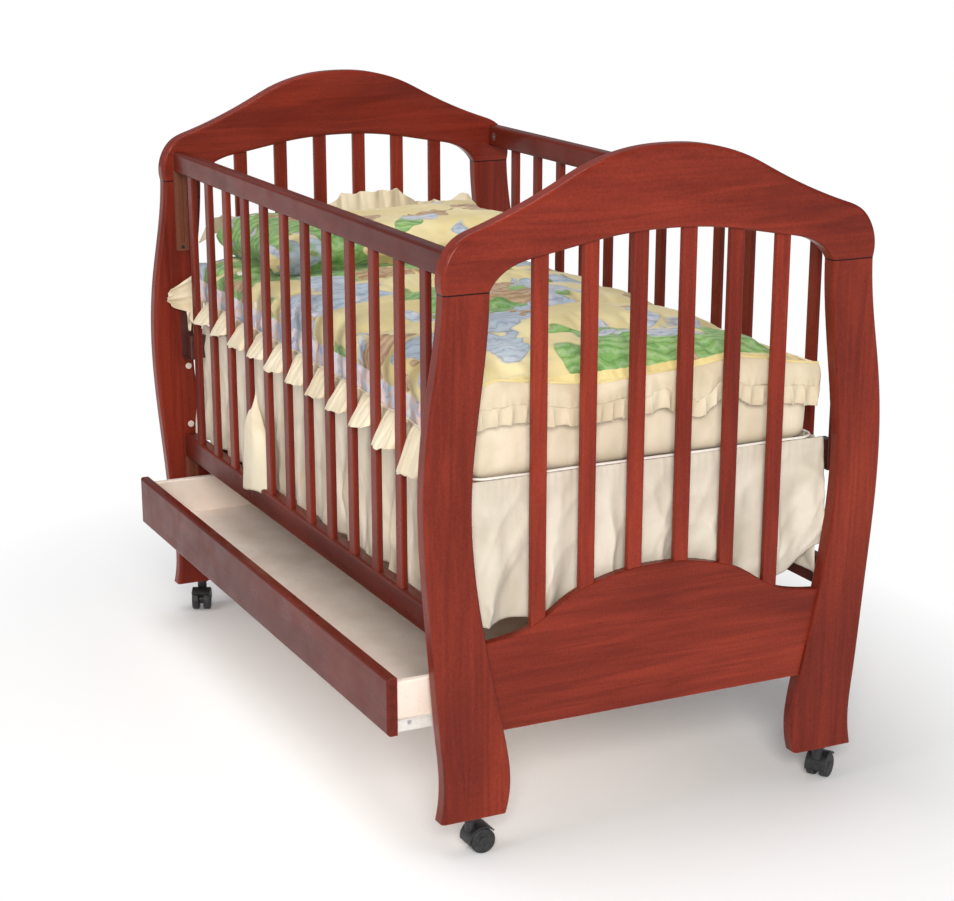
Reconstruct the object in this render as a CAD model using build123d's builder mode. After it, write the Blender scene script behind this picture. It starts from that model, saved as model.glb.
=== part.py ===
from build123d import *
from math import cos, pi, sin
import os

# Baby crib with a drop-side gate, a roll-out drawer, four twin-wheel casters and its bedding.
# Millimetres. X runs along the crib, head at -X, foot at +X. Y runs across it, the gate at -Y.
# Z is up from the floor. "near" is the gate's side, "far" is the fixed side.

os.makedirs("parts", exist_ok=True)

# Crib frame
inner_length = 1220          # between the inner faces of the two ends
end_thickness = 30           # legs and arches, along X
leg_foot_z = 58              # underside of the legs, on top of the casters
joint_z = 859                # where the arch stands on the legs
arch_peak_z = 1050
joint_half_width = 362       # outer edge of leg and arch at their joint
joint_width = 73             # width of leg and arch at their joint
leg_bulge = 32               # how far the legs swell out below the joint
window_rise = 69             # how far the window's top rises over the joint
edge_round = 6               # rounded edges of legs and arches
overrun = 5                  # how far a cut runs past what it cuts

# Gap that glued or pressed pieces keep to their holes, and gap between pieces that move
glue_gap = 0.1
seat_gap = 0.3
turn_gap = 0.05

# Height along the leg, how far its outer edge has swelled, and its width
leg_shares = (
    (0.0, 0.22, 1.49),
    (0.067, 0.03, 1.51),
    (0.155, 0.19, 1.45),
    (0.33, 0.56, 1.21),
    (0.504, 0.91, 1.07),
    (0.62, 1.0, 1.055),
    (0.767, 0.75, 1.08),
    (0.9, 0.22, 1.03),
    (1.0, 0.0, 1.0),
)
# Half of the arch's upper edge and of the window's upper edge, from the middle outwards
arch_top_shares = (
    (0.0, 1.0),
    (0.13, 0.988),
    (0.25, 0.945),
    (0.378, 0.862),
    (0.503, 0.743),
    (0.655, 0.607),
    (0.84, 0.471),
    (0.935, 0.39),
    (0.985, 0.27),
    (1.0, 0.0),
)
window_top_shares = (
    (0.0, 1.0),
    (0.346, 0.91),
    (0.692, 0.66),
    (0.86, 0.50),
    (0.95, 0.27),
    (1.0, 0.0),
)

# Aprons and upright slats of the two ends
apron_thickness = 16
apron_setback = 8            # from the outer face of the legs
apron_bottom_z = 191
apron_peak_z = 417
apron_end_z = 332            # top of the apron where it meets the legs
apron_round = 2
apron_top_shares = (
    (0.0, 1.0),
    (0.205, 0.955),
    (0.36, 0.84),
    (0.5, 0.68),
    (0.62, 0.43),
    (0.74, 0.2),
    (0.86, 0.08),
    (1.04, 0.0),
)
end_slat_count = 6
end_slat_pitch = 81.7
end_slat_width = 25
end_slat_thickness = 12
slat_round = 3

# Side panels: the gate and the fixed far side
side_inner_half = 319        # inner face of both side panels from the middle plane
side_thickness = 25
side_slat_count = 12
side_slat_pitch = 95
side_slat_width = 25
side_slat_thickness = 10
side_slat_outward = 5         # how far the slats stand outwards of the rails' middle
side_tenon = 12              # how deep the slats go into the rails
rail_round = 5
far_top_low_z = 890
far_top_high_z = 930
gate_top_low_z = 876
gate_top_high_z = 914
bottom_rail_low_z = 322
bottom_rail_high_z = 368

# Gate guides and pins
guide_thickness = 5
guide_end_gap = 1            # rail end to guide
guide_groove_depth = 4
guide_pin_radius = 4
guide_pin_grip = 30          # how much of the pin is in the rail
gate_drop = 150              # full travel of the gate with the drawer shut
guide_margin = 14            # guide beyond the groove's end
guide_screw_radius = 2
guide_screw_length = 20
guide_screw_head_radius = 3.6
guide_screw_head = 1.6

# Wooden dowels of the ends, and the knock-down fittings of the far rails
dowel_radius = 4
dowel_length = 40
dowel_hole_spare = 1
arch_dowel_spread = 34
apron_dowel_low_z = 225
apron_dowel_spread = 70
cam_radius = 7.5
cam_depth = 17
cam_from_end = 24
cam_pin_radius = 3.5
cam_pin_in_leg = 11

# Mattress base
base_top_z = 565.7
base_rail_height = 44
base_rail_thickness = 20
base_end_gap = 15            # end rails to the crib's ends
base_rail_past_panel = 15    # end rails' ends past the side panels' inner faces
base_side_half = 290         # outer face of the side rails
base_slat_count = 13
base_slat_width = 58
base_slat_thickness = 12
base_screw_radius = 2.5
base_screw_length = 50
base_screw_head_radius = 4.5
base_screw_head = 2.5
bracket_thickness = 2.4
bracket_width = 24
bracket_ledge = 33
bracket_high_z = 634
hole_z = 617                 # highest hole for a bracket, the one in use
hole_pitch = 116             # spare holes below it
spare_holes = 2
hole_inset = 33              # from the outer edge of the leg at its joint to the holes
bracket_bolt_radius = 3
bracket_bolt_length = 24
bracket_bolt_head_radius = 6
bracket_bolt_head = 3.2
cap_radius = 6.2
cap_rise = 2.2
cap_stem = 8

# Drawer, closed with its front's outer face at drawer_shut_half
drawer_out = 123             # how far it stands out in this pose
drawer_shut_half = 316
drawer_depth = 606           # over the front and the back
drawer_front_gap = 7.5       # from the front's ends to the inner faces of the two ends
drawer_front_low_z = 200
drawer_front_high_z = 291
drawer_front_thickness = 16
drawer_front_round = 5
drawer_side_gap = 13         # from the side walls to the inner faces of the two ends
drawer_side_low_z = 205
drawer_side_high_z = 282
drawer_side_thickness = 14
drawer_back_thickness = 14
drawer_bottom_z = 209
drawer_bottom_thickness = 4
drawer_groove = 6            # how deep the bottom goes into the walls
drawer_screw_radius = 2
drawer_screw_length = 40
drawer_screw_head_radius = 3.8
drawer_screw_head = 2.4

# Drawer runners
runner_sheet = 1.2
runner_low_z = 200
runner_high_z = 236
runner_front_gap = 4         # runner's front end to the shut drawer front
runner_back_half = 345
drawer_runner_high_z = 224
drawer_runner_reach = 7.2    # outward flange
drawer_runner_wrap = 12      # flange below the side wall
roller_radius = 9
drawer_roller_width = 5
frame_roller_width = 8
roller_pin_radius = 2.5
roller_pin_head_radius = 4
roller_inset = 14            # roller to the runner's end
runner_screw_shares = (0.035, 0.5, 0.93)    # places along the drawer's walls
runner_screw_radius = 1.9
runner_screw_length = 12
runner_screw_head_radius = 3.4
runner_screw_head = 0.8

# Casters
wheel_radius = 20
wheel_width = 13
caster_web = 8
wheel_side_gap = 0.6
caster_trail = 14            # wheel axle from the swivel axis
hood_gap = 1.5
hood_thickness = 2.5
hood_arc = 74                # degrees that the hood covers on each side of its middle
hood_lean = 25               # degrees that its middle leans towards the stem
stem_radius = 5
stem_in_leg = 32
collar_radius = 9
socket_flange_radius = 13
socket_flange = 3
socket_wall = 1.5
axle_radius = 2.5
hub_radius = 7
hub_rise = 1.2
tread_round = 2.5
# Swivel angles of the casters, in degrees from wheels trailing towards +X
swivel = {"head_near": 334, "head_far": 56, "foot_near": 90, "foot_far": 124}

# Bedding
mattress_end_gap = 13        # to the inner faces of the two ends
mattress_side_gap = 19       # to the inner faces of the side panels
mattress_height = 119
mattress_pull = 4            # how far its sides are drawn in between the corners
mattress_corner = 26
skirt_thickness = 2.5
skirt_top_rise = 22          # skirt's seam over the mattress's underside
skirt_corner_length = 25     # how far the side skirts stop short of the mattress's corners
skirt_corner_width = 8       # and the end skirts
skirt_hem_z = 350
skirt_gather = 0.5           # depth of the folds at the seam
skirt_fold = 5.5             # depth of the folds at the hem
skirt_fold_pitch = 82
skirt_flare = 4              # how far the hem stands out from the seam
quilt_end_gap = 10           # to the inner faces of the two ends
quilt_edge = 12              # thickness at the far edge
quilt_crown_z = 741
quilt_crown_head_z = 716
quilt_crown_foot_z = 729
quilt_flap = 12              # thickness of the part that hangs down inside the gate
quilt_flap_gap = 4.5         # mattress to the hanging part
quilt_channel = 7            # depth of the sewn channels
quilt_panel_count = 6
quilt_bulge_shares = (0.0, 0.7, 1.0, 0.7)
flap_hem_head_z = 612
flap_hem_foot_z = 588
pillow_length = 340
pillow_side_gap = 31         # to the inner faces of the side panels
pillow_height = 82
pillow_pull = 16
pillow_corner = 30
pillow_level_shares = (
    (0.0, 0.9), (0.1, 0.45), (0.3, 0.1), (0.5, 0.0), (0.7, 0.12), (0.87, 0.45), (0.96, 0.85), (1.0, 1.3),
)
mattress_level_shares = ((0.0, 0.045), (0.14, 0.008), (0.5, 0.0), (0.88, 0.008), (1.0, 0.05))
# Rise of an arc that rounds a square corner, as a share of the corner's size
corner_sagitta_share = 0.29

# Derived places
inner_x = inner_length / 2
outer_x = inner_x + end_thickness
end_mid_x = inner_x + end_thickness / 2
leg_height = joint_z - leg_foot_z
arch_rise = arch_peak_z - joint_z
window_half = joint_half_width - joint_width
bulge_half = joint_half_width + leg_bulge
side_outer_half = side_inner_half + side_thickness
side_mid_half = side_inner_half + side_thickness / 2
leg_foot_outer = joint_half_width + leg_bulge * leg_shares[0][1]
leg_foot_mid = leg_foot_outer - joint_width * leg_shares[0][2] / 2
apron_mid_x = outer_x - apron_setback - apron_thickness / 2
gate_half_length = inner_x - guide_thickness - guide_end_gap
gate_top_mid_z = (gate_top_low_z + gate_top_high_z) / 2
bottom_rail_mid_z = (bottom_rail_low_z + bottom_rail_high_z) / 2
drawer_front_y = -drawer_shut_half - drawer_out
drawer_front_half = inner_x - drawer_front_gap
drawer_side_half = inner_x - drawer_side_gap
hole_half_width = joint_half_width - hole_inset
mattress_half_length = inner_x - mattress_end_gap
mattress_half_width = side_inner_half - mattress_side_gap
skirt_half_length = mattress_half_length - skirt_corner_length
skirt_half_width = mattress_half_width - skirt_corner_width
quilt_half_length = inner_x - quilt_end_gap
pillow_half_width = side_inner_half - pillow_side_gap
# The crib's middle plane stands off the frame's, so that the origin is under the middle of the
# whole box with the drawer out
mid_y = (-drawer_front_y - bulge_half) / 2


def across(x):
    """Plane square to X at x: its own axes are Y from the middle plane, and Z."""
    return Plane(origin=(x, mid_y, 0), x_dir=(0, 1, 0), z_dir=(1, 0, 0))


def along(y):
    """Plane square to Y at y from the middle plane: its own axes are X and Z, its normal is -Y."""
    return Plane(origin=(0, mid_y + y, 0), x_dir=(1, 0, 0), z_dir=(0, -1, 0))


def level(z):
    """Level plane at z over the crib's middle."""
    return Plane(origin=(0, mid_y, z))


def point(x, y, z):
    """A place measured from the middle plane."""
    return (x, mid_y + y, z)


def leg_edges(side):
    """The outer and the inner edge of a leg, from the foot up."""
    outer = []
    inner = []
    for height, swell, width in leg_shares:
        z = leg_foot_z + leg_height * height
        edge = joint_half_width + leg_bulge * swell
        outer.append((side * edge, z))
        inner.append((side * (edge - joint_width * width), z))
    return outer, inner


def leg_face(side, mode=Mode.ADD):
    outer, inner = leg_edges(side)
    with BuildLine() as outline:
        Spline(*outer)
        Line(outer[-1], inner[-1])
        Spline(*reversed(inner))
        Line(inner[0], outer[0])
    make_face(outline.edges(), mode=mode)


def both_ways(shares, half, base_z, rise):
    """A curve over the whole width from shares given for one half."""
    right = [(half * share, base_z + rise * height) for share, height in shares]
    left = [(-y, z) for y, z in right[:0:-1]]
    return left + right


def arch_face(mode=Mode.ADD):
    top = both_ways(arch_top_shares, joint_half_width, joint_z, arch_rise)
    window = both_ways(window_top_shares, window_half, joint_z, window_rise)
    with BuildLine() as outline:
        Spline(*top)
        Line(top[-1], window[-1])
        Spline(*reversed(window))
        Line(window[0], top[0])
    make_face(outline.edges(), mode=mode)


def apron_face(mode=Mode.ADD):
    half = window_half
    top = both_ways(apron_top_shares, half, apron_end_z, apron_peak_z - apron_end_z)
    with BuildLine() as outline:
        Spline(*top)
        Line(top[-1], (top[-1][0], apron_bottom_z))
        Line((top[-1][0], apron_bottom_z), (top[0][0], apron_bottom_z))
        Line((top[0][0], apron_bottom_z), top[0])
    make_face(outline.edges(), mode=mode)


# Which way a rod or a fastener points: its own axis is turned from +Z
turned = {
    "+x": (0, 90, 0),
    "-x": (0, -90, 0),
    "+y": (-90, 0, 0),
    "-y": (90, 0, 0),
    "+z": (0, 0, 0),
    "-z": (180, 0, 0),
}
ends = (("head", -1), ("foot", 1))
sides = (("near", -1), ("far", 1))


def outward(sign):
    """Turn that points a rod along X, away from the crib's middle or towards it."""
    return turned["+x"] if sign > 0 else turned["-x"]


def across_turn(sign):
    return turned["+y"] if sign > 0 else turned["-y"]


def spread(count, pitch):
    """Places of a row, from its middle."""
    return [pitch * (index - (count - 1) / 2) for index in range(count)]


def rod(place, turn, radius, length, mode=Mode.ADD):
    """A round rod whose end is at the place, and which runs back against the turn's way."""
    with Locations(Location(place, turn)):
        Cylinder(radius, length, align=(Align.CENTER, Align.CENTER, Align.MAX), mode=mode)


def rods(places, radius, length, mode=Mode.ADD):
    for place, turn in places:
        rod(place, turn, radius, length, mode)


def screws(places, radius, length, head_radius, head):
    """Screws whose heads stand on the places, with their shanks behind."""
    for place, turn in places:
        rod(place, turn, radius, length)
        with Locations(Location(place, turn)):
            Cylinder(head_radius, head, align=(Align.CENTER, Align.CENTER, Align.MIN))


def write(piece, label):
    piece.part.label = label
    export_step(piece.part, f"parts/{label}.step")


def leg_inner_half(z):
    """Inner edge of a leg at a height, by straight steps through its table."""
    _, inner = leg_edges(1)
    for (low_y, low_z), (high_y, high_z) in zip(inner, inner[1:]):
        if low_z <= z <= high_z:
            return low_y + (high_y - low_y) * (z - low_z) / (high_z - low_z)
    return inner[0][0]


# Places of what joins the ends, each with the way that it points
dowel_reach = dowel_length / 2
arch_dowels = [
    (point(end * end_mid_x, side * (joint_half_width - joint_width / 2) + offset, joint_z + dowel_reach),
     turned["+z"])
    for _, end in ends for _, side in sides for offset in spread(2, arch_dowel_spread)
]
apron_dowels = [
    (point(end * apron_mid_x, side * (leg_inner_half(z) + dowel_reach), z), across_turn(side))
    for _, end in ends for _, side in sides
    for z in (apron_dowel_low_z, apron_dowel_low_z + apron_dowel_spread)
]
cam_pin_length = cam_pin_in_leg + cam_from_end + cam_radius / 2
far_rail_mids = ((far_top_low_z + far_top_high_z) / 2, bottom_rail_mid_z)
cam_pins = [
    (point(end * (inner_x + cam_pin_in_leg), side_mid_half, z), outward(end))
    for _, end in ends for z in far_rail_mids
]
cams = [
    (point(end * (inner_x - cam_from_end), side_inner_half, z), turned["-y"])
    for _, end in ends for z in far_rail_mids
]
pin_run = guide_pin_radius + seat_gap
guide_ends = [
    (mid_z - gate_drop - pin_run - guide_margin, mid_z + pin_run + guide_margin)
    for mid_z in (gate_top_mid_z, bottom_rail_mid_z)
]
guide_face = inner_x - guide_thickness
guide_screws = [
    (point(end * (guide_face + guide_screw_head), -side_mid_half, z), outward(-end))
    for _, end in ends for low_z, high_z in guide_ends
    for z in (low_z + guide_margin / 2, high_z - guide_margin / 2)
]
guide_pin_reach = guide_end_gap + guide_groove_depth - guide_end_gap / 2
guide_pin_hole = guide_pin_reach + guide_pin_grip + glue_gap
guide_pins = [
    (point(end * (gate_half_length + guide_pin_reach), -side_mid_half, mid_z), outward(end))
    for _, end in ends for mid_z in (gate_top_mid_z, bottom_rail_mid_z)
]
bracket_face = inner_x - bracket_thickness
bracket_bolts = [
    (point(end * bracket_face, side * hole_half_width, hole_z), outward(-end))
    for _, end in ends for _, side in sides
]
spare_caps = [
    (point(end * inner_x, side * hole_half_width, hole_z - hole_pitch * (step + 1)), outward(-end))
    for _, end in ends for _, side in sides for step in range(spare_holes)
]
runner_front_half = drawer_shut_half - drawer_front_thickness - runner_front_gap
runner_face = inner_x - runner_sheet
frame_runner_screws = [
    (point(end * runner_face, y, (runner_low_z + runner_high_z) / 2), outward(-end))
    for _, end in ends for y in (-runner_front_half + 2 * roller_inset, runner_back_half - roller_inset)
]
socket_radius = stem_radius + turn_gap + socket_wall
sockets = [
    point(end * end_mid_x, side * leg_foot_mid, leg_foot_z) for _, end in ends for _, side in sides
]


def end_frame_holes():
    """Everything that is bored into legs, arches and aprons."""
    spare = dowel_hole_spare
    for (x, y, z), turn in arch_dowels:
        rod((x, y, z + spare), turn, dowel_radius + glue_gap, dowel_length + 2 * spare, Mode.SUBTRACT)
    for (x, y, z), turn in apron_dowels:
        step = spare if turn == turned["+y"] else -spare
        rod((x, y + step, z), turn, dowel_radius + glue_gap, dowel_length + 2 * spare, Mode.SUBTRACT)
    for (x, y, z), turn in cam_pins:
        step = spare if x > 0 else -spare
        rod((x + step, y, z), turn, cam_pin_radius + glue_gap, cam_pin_length, Mode.SUBTRACT)
    rods(guide_screws, guide_screw_radius + glue_gap, guide_screw_length + spare, Mode.SUBTRACT)
    rods(bracket_bolts, bracket_bolt_radius + glue_gap, bracket_bolt_length + spare, Mode.SUBTRACT)
    rods(spare_caps, bracket_bolt_radius + glue_gap, bracket_bolt_length, Mode.SUBTRACT)
    rods(frame_runner_screws, runner_screw_radius + glue_gap, runner_screw_length + spare, Mode.SUBTRACT)
    for x, y, z in sockets:
        rod((x, y, z + stem_in_leg + spare), turned["+z"], socket_radius + glue_gap,
            stem_in_leg + spare + overrun, Mode.SUBTRACT)


# The two ends: legs, arches, aprons and upright slats
for end_name, end in ends:
    low_x = inner_x if end > 0 else -outer_x
    for side_name, side in sides:
        with BuildPart() as leg:
            with BuildSketch(across(low_x)):
                leg_face(side)
            extrude(amount=end_thickness)
            fillet(leg.faces().filter_by(Axis.X).edges().filter_by(GeomType.BSPLINE), edge_round)
            end_frame_holes()
        write(leg, f"{end_name}_leg_{side_name}")

    with BuildPart() as arch:
        with BuildSketch(across(low_x)):
            arch_face()
        extrude(amount=end_thickness)
        fillet(arch.faces().filter_by(Axis.X).edges().filter_by(GeomType.BSPLINE), edge_round)
        end_frame_holes()
    write(arch, f"{end_name}_arch")

    with BuildPart() as apron:
        with BuildSketch(across(end * apron_mid_x - apron_thickness / 2)):
            apron_face()
            leg_face(-1, Mode.SUBTRACT)
            leg_face(1, Mode.SUBTRACT)
        extrude(amount=apron_thickness)
        rim = apron.faces().filter_by(Axis.X).edges().filter_by(GeomType.BSPLINE)
        fillet(rim.filter_by(lambda edge: edge.center().Z > apron_end_z), apron_round)
        end_frame_holes()
    write(apron, f"{end_name}_apron")

    window_z = joint_z + window_rise
    with BuildPart() as end_slats:
        with BuildSketch(across(end * apron_mid_x - end_slat_thickness / 2)):
            middle_z = (apron_end_z + window_z) / 2
            with Locations(*[(y, middle_z) for y in spread(end_slat_count, end_slat_pitch)]):
                Rectangle(end_slat_width, window_z - apron_end_z)
            apron_face(Mode.SUBTRACT)
            arch_face(Mode.SUBTRACT)
        extrude(amount=end_slat_thickness)
        fillet(end_slats.edges().filter_by(Axis.Z), slat_round)
    write(end_slats, f"{end_name}_slats")

with BuildPart() as frame_dowels:
    rods(arch_dowels + apron_dowels, dowel_radius, dowel_length)
write(frame_dowels, "frame_dowels")


# Side panels: rails with mortises, and slats whose ends sit in them
def slat_line(middle):
    """Where the slats stand in a side panel whose rails have this middle."""
    return middle * (1 + side_slat_outward / side_mid_half)


def side_rail(half_length, low_z, high_z, middle, mortise_z, mortise_way):
    """A rail of a side panel. Its mortises open at mortise_z and go up or down from there."""
    with BuildSketch(across(-half_length)) as section:
        with Locations((middle, (low_z + high_z) / 2)):
            RectangleRounded(side_thickness, high_z - low_z, rail_round)
    extrude(section.sketch, amount=2 * half_length)
    depth = side_tenon + seat_gap
    for x in spread(side_slat_count, side_slat_pitch):
        with Locations(point(x, slat_line(middle), mortise_z + mortise_way * depth / 2)):
            Box(side_slat_width + 2 * glue_gap, side_slat_thickness + 2 * glue_gap, depth,
                mode=Mode.SUBTRACT)


def side_slats(low_z, high_z, middle):
    length = high_z - low_z + 2 * side_tenon
    for x in spread(side_slat_count, side_slat_pitch):
        with Locations(point(x, slat_line(middle), (low_z + high_z) / 2)):
            Box(side_slat_width, side_slat_thickness, length)


with BuildPart() as far_top_rail:
    side_rail(inner_x, far_top_low_z, far_top_high_z, side_mid_half, far_top_low_z, 1)
    rods(cam_pins, cam_pin_radius + glue_gap, cam_pin_length + dowel_hole_spare, Mode.SUBTRACT)
    rods(cams, cam_radius + glue_gap, cam_depth + glue_gap, Mode.SUBTRACT)
write(far_top_rail, "far_top_rail")

with BuildPart() as far_bottom_rail:
    side_rail(inner_x, bottom_rail_low_z, bottom_rail_high_z, side_mid_half, bottom_rail_high_z, -1)
    rods(cam_pins, cam_pin_radius + glue_gap, cam_pin_length + dowel_hole_spare, Mode.SUBTRACT)
    rods(cams, cam_radius + glue_gap, cam_depth + glue_gap, Mode.SUBTRACT)
write(far_bottom_rail, "far_bottom_rail")

with BuildPart() as far_slats:
    side_slats(bottom_rail_high_z, far_top_low_z, side_mid_half)
    fillet(far_slats.edges().filter_by(Axis.Z), slat_round)
write(far_slats, "far_slats")

with BuildPart() as rail_cam_pins:
    rods(cam_pins, cam_pin_radius, cam_pin_length)
    rods(cams, cam_radius + glue_gap, cam_depth + glue_gap, Mode.SUBTRACT)
write(rail_cam_pins, "rail_cam_pins")

# Each cam is sunk a little and has a cross slot for the driver
with BuildPart() as rail_cams:
    for (x, y, z), turn in cams:
        rod((x, y + glue_gap, z), turn, cam_radius, cam_depth - glue_gap)
        with Locations((x, y, z)):
            Box(cam_radius, cam_radius / 2, cam_radius / 4, mode=Mode.SUBTRACT)
            Box(cam_radius / 4, cam_radius / 2, cam_radius, mode=Mode.SUBTRACT)
write(rail_cams, "rail_cams")

with BuildPart() as gate_top_rail:
    side_rail(gate_half_length, gate_top_low_z, gate_top_high_z, -side_mid_half, gate_top_low_z, 1)
    rods(guide_pins, guide_pin_radius + glue_gap, guide_pin_hole, Mode.SUBTRACT)
write(gate_top_rail, "gate_top_rail")

with BuildPart() as gate_bottom_rail:
    side_rail(gate_half_length, bottom_rail_low_z, bottom_rail_high_z, -side_mid_half,
              bottom_rail_high_z, -1)
    rods(guide_pins, guide_pin_radius + glue_gap, guide_pin_hole, Mode.SUBTRACT)
write(gate_bottom_rail, "gate_bottom_rail")

with BuildPart() as gate_slats:
    side_slats(bottom_rail_high_z, gate_top_low_z, -side_mid_half)
    fillet(gate_slats.edges().filter_by(Axis.Z), slat_round)
write(gate_slats, "gate_slats")

with BuildPart() as gate_guide_pins:
    rods(guide_pins, guide_pin_radius, guide_pin_reach + guide_pin_grip)
write(gate_guide_pins, "gate_guide_pins")


# Channels on the legs that the gate's pins run in
def guide_strips(low_z, high_z):
    for _, end in ends:
        with BuildSketch(across(end * guide_face)) as strip:
            with Locations((-side_mid_half, (low_z + high_z) / 2)):
                RectangleRounded(side_thickness, high_z - low_z, slat_round)
        extrude(strip.sketch, amount=end * guide_thickness)
        with BuildSketch(across(end * guide_face)) as groove:
            with Locations((-side_mid_half, (low_z + high_z) / 2)):
                SlotCenterToCenter(gate_drop, 2 * pin_run, rotation=90)
        extrude(groove.sketch, amount=end * guide_groove_depth, mode=Mode.SUBTRACT)
    rods(guide_screws, guide_screw_radius + glue_gap, guide_screw_length, Mode.SUBTRACT)
    for (x, y, z), turn in guide_screws:
        step = guide_screw_head if x < 0 else -guide_screw_head
        rod((x + step, y, z), turn, guide_screw_head_radius + glue_gap, guide_screw_head, Mode.SUBTRACT)


for label, (low_z, high_z) in zip(("lower_gate_guides", "upper_gate_guides"), reversed(guide_ends)):
    with BuildPart() as guides:
        guide_strips(low_z, high_z)
    write(guides, label)

with BuildPart() as gate_guide_screws:
    screws(guide_screws, guide_screw_radius, guide_screw_length, guide_screw_head_radius, guide_screw_head)
write(gate_guide_screws, "gate_guide_screws")

# Mattress base: two end rails on brackets, two side rails, and cross slats
base_rail_low_z = base_top_z - base_rail_height
base_end_x = inner_x - base_end_gap
base_inner_x = base_end_x - base_rail_thickness
base_side_high_z = base_top_z - base_slat_thickness
base_side_mid = base_side_half - base_rail_thickness / 2
base_screws = [
    (point(end * base_end_x, side * base_side_mid, (base_rail_low_z + base_side_high_z) / 2 + offset),
     outward(end))
    for _, end in ends for _, side in sides for offset in spread(2, base_rail_thickness)
]

with BuildPart() as base_end_rails:
    for _, end in ends:
        with Locations(point(end * (base_end_x - base_rail_thickness / 2), 0,
                             base_top_z - base_rail_height / 2)):
            Box(base_rail_thickness, 2 * (side_inner_half + base_rail_past_panel), base_rail_height)
    fillet(base_end_rails.edges().filter_by(Axis.Z), slat_round)
    for (x, y, z), turn in base_screws:
        rod((x, y, z), turn, base_screw_radius + glue_gap, base_screw_length, Mode.SUBTRACT)
        rod((x, y, z), turn, base_screw_head_radius + glue_gap, base_screw_head, Mode.SUBTRACT)
write(base_end_rails, "base_end_rails")

with BuildPart() as base_side_rails:
    for _, side in sides:
        with Locations(point(0, side * base_side_mid, (base_rail_low_z + base_side_high_z) / 2)):
            Box(2 * base_inner_x, base_rail_thickness, base_side_high_z - base_rail_low_z)
    rods(base_screws, base_screw_radius + glue_gap, base_screw_length + dowel_hole_spare, Mode.SUBTRACT)
write(base_side_rails, "base_side_rails")

base_slat_pitch = (2 * base_inner_x - base_slat_width) / (base_slat_count - 1)
with BuildPart() as base_slats:
    for x in spread(base_slat_count, base_slat_pitch):
        with Locations(point(x, 0, base_top_z - base_slat_thickness / 2)):
            Box(base_slat_width - 2 * seat_gap, 2 * base_side_half, base_slat_thickness)
    fillet(base_slats.faces().sort_by(Axis.Z)[-base_slat_count:].edges().filter_by(Axis.Y), slat_round)
write(base_slats, "base_slats")

with BuildPart() as base_rail_screws:
    for (x, y, z), turn in base_screws:
        rod((x, y, z), turn, base_screw_radius, base_screw_length)
        rod((x, y, z), turn, base_screw_head_radius, base_screw_head)
write(base_rail_screws, "base_rail_screws")

# Angle brackets that carry the base's end rails on the legs
with BuildPart() as base_brackets:
    for _, end in ends:
        for _, side in sides:
            middle = side * hole_half_width
            with Locations(point(end * (inner_x - bracket_thickness / 2), middle,
                                 (base_rail_low_z - bracket_thickness + bracket_high_z) / 2)):
                Box(bracket_thickness, bracket_width, bracket_high_z - base_rail_low_z + bracket_thickness)
            with Locations(point(end * (inner_x - bracket_ledge / 2), middle,
                                 base_rail_low_z - bracket_thickness / 2)):
                Box(bracket_ledge, bracket_width, bracket_thickness)
    rods(bracket_bolts, bracket_bolt_radius + glue_gap, bracket_bolt_length, Mode.SUBTRACT)
write(base_brackets, "base_brackets")

with BuildPart() as base_bracket_bolts:
    screws(bracket_bolts, bracket_bolt_radius, bracket_bolt_length,
           bracket_bolt_head_radius, bracket_bolt_head)
write(base_bracket_bolts, "base_bracket_bolts")

# Domed caps in the spare bracket holes
with BuildPart() as hole_caps:
    screws(spare_caps, bracket_bolt_radius, cap_stem, cap_radius, cap_rise)
    tops = hole_caps.edges().filter_by(GeomType.CIRCLE).filter_by(
        lambda edge: abs(abs(edge.center().X) - (inner_x - cap_rise)) < seat_gap)
    fillet(tops, cap_rise / 2)
write(hole_caps, "hole_caps")

# Drawer
front_inner_y = drawer_front_y + drawer_front_thickness
drawer_back_y = drawer_front_y + drawer_depth
drawer_wall_inner = drawer_side_half - drawer_side_thickness
back_inner_y = drawer_back_y - drawer_back_thickness
wall_mid_z = (drawer_side_low_z + drawer_side_high_z) / 2
wall_height = drawer_side_high_z - drawer_side_low_z
wall_length = drawer_back_y - front_inner_y
bottom_box = (
    2 * (drawer_wall_inner + drawer_groove),
    back_inner_y - front_inner_y + 2 * drawer_groove,
    drawer_bottom_thickness,
)
bottom_place = point(0, (front_inner_y + back_inner_y) / 2, drawer_bottom_z + drawer_bottom_thickness / 2)
drawer_dowels = [
    (point(end * (drawer_side_half - drawer_side_thickness / 2), front_inner_y - dowel_reach / 2,
           wall_mid_z + offset), turned["-y"])
    for _, end in ends for offset in spread(2, wall_height / 2)
]
drawer_screws = [
    (point(end * (drawer_side_half - drawer_screw_head), drawer_back_y - drawer_back_thickness / 2,
           wall_mid_z + offset), outward(end))
    for _, end in ends for offset in spread(2, wall_height / 2)
]
runner_wall = drawer_side_half + runner_sheet
drawer_runner_screws = [
    (point(end * runner_wall, front_inner_y + share * wall_length,
           (drawer_bottom_z + drawer_runner_high_z) / 2), outward(end))
    for _, end in ends for share in runner_screw_shares
]
drawer_roller_y = drawer_back_y - roller_inset
drawer_roller_z = runner_low_z + runner_sheet + seat_gap + roller_radius
frame_roller_y = -runner_front_half + roller_inset
frame_roller_z = drawer_runner_high_z - runner_sheet - seat_gap - roller_radius


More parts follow.
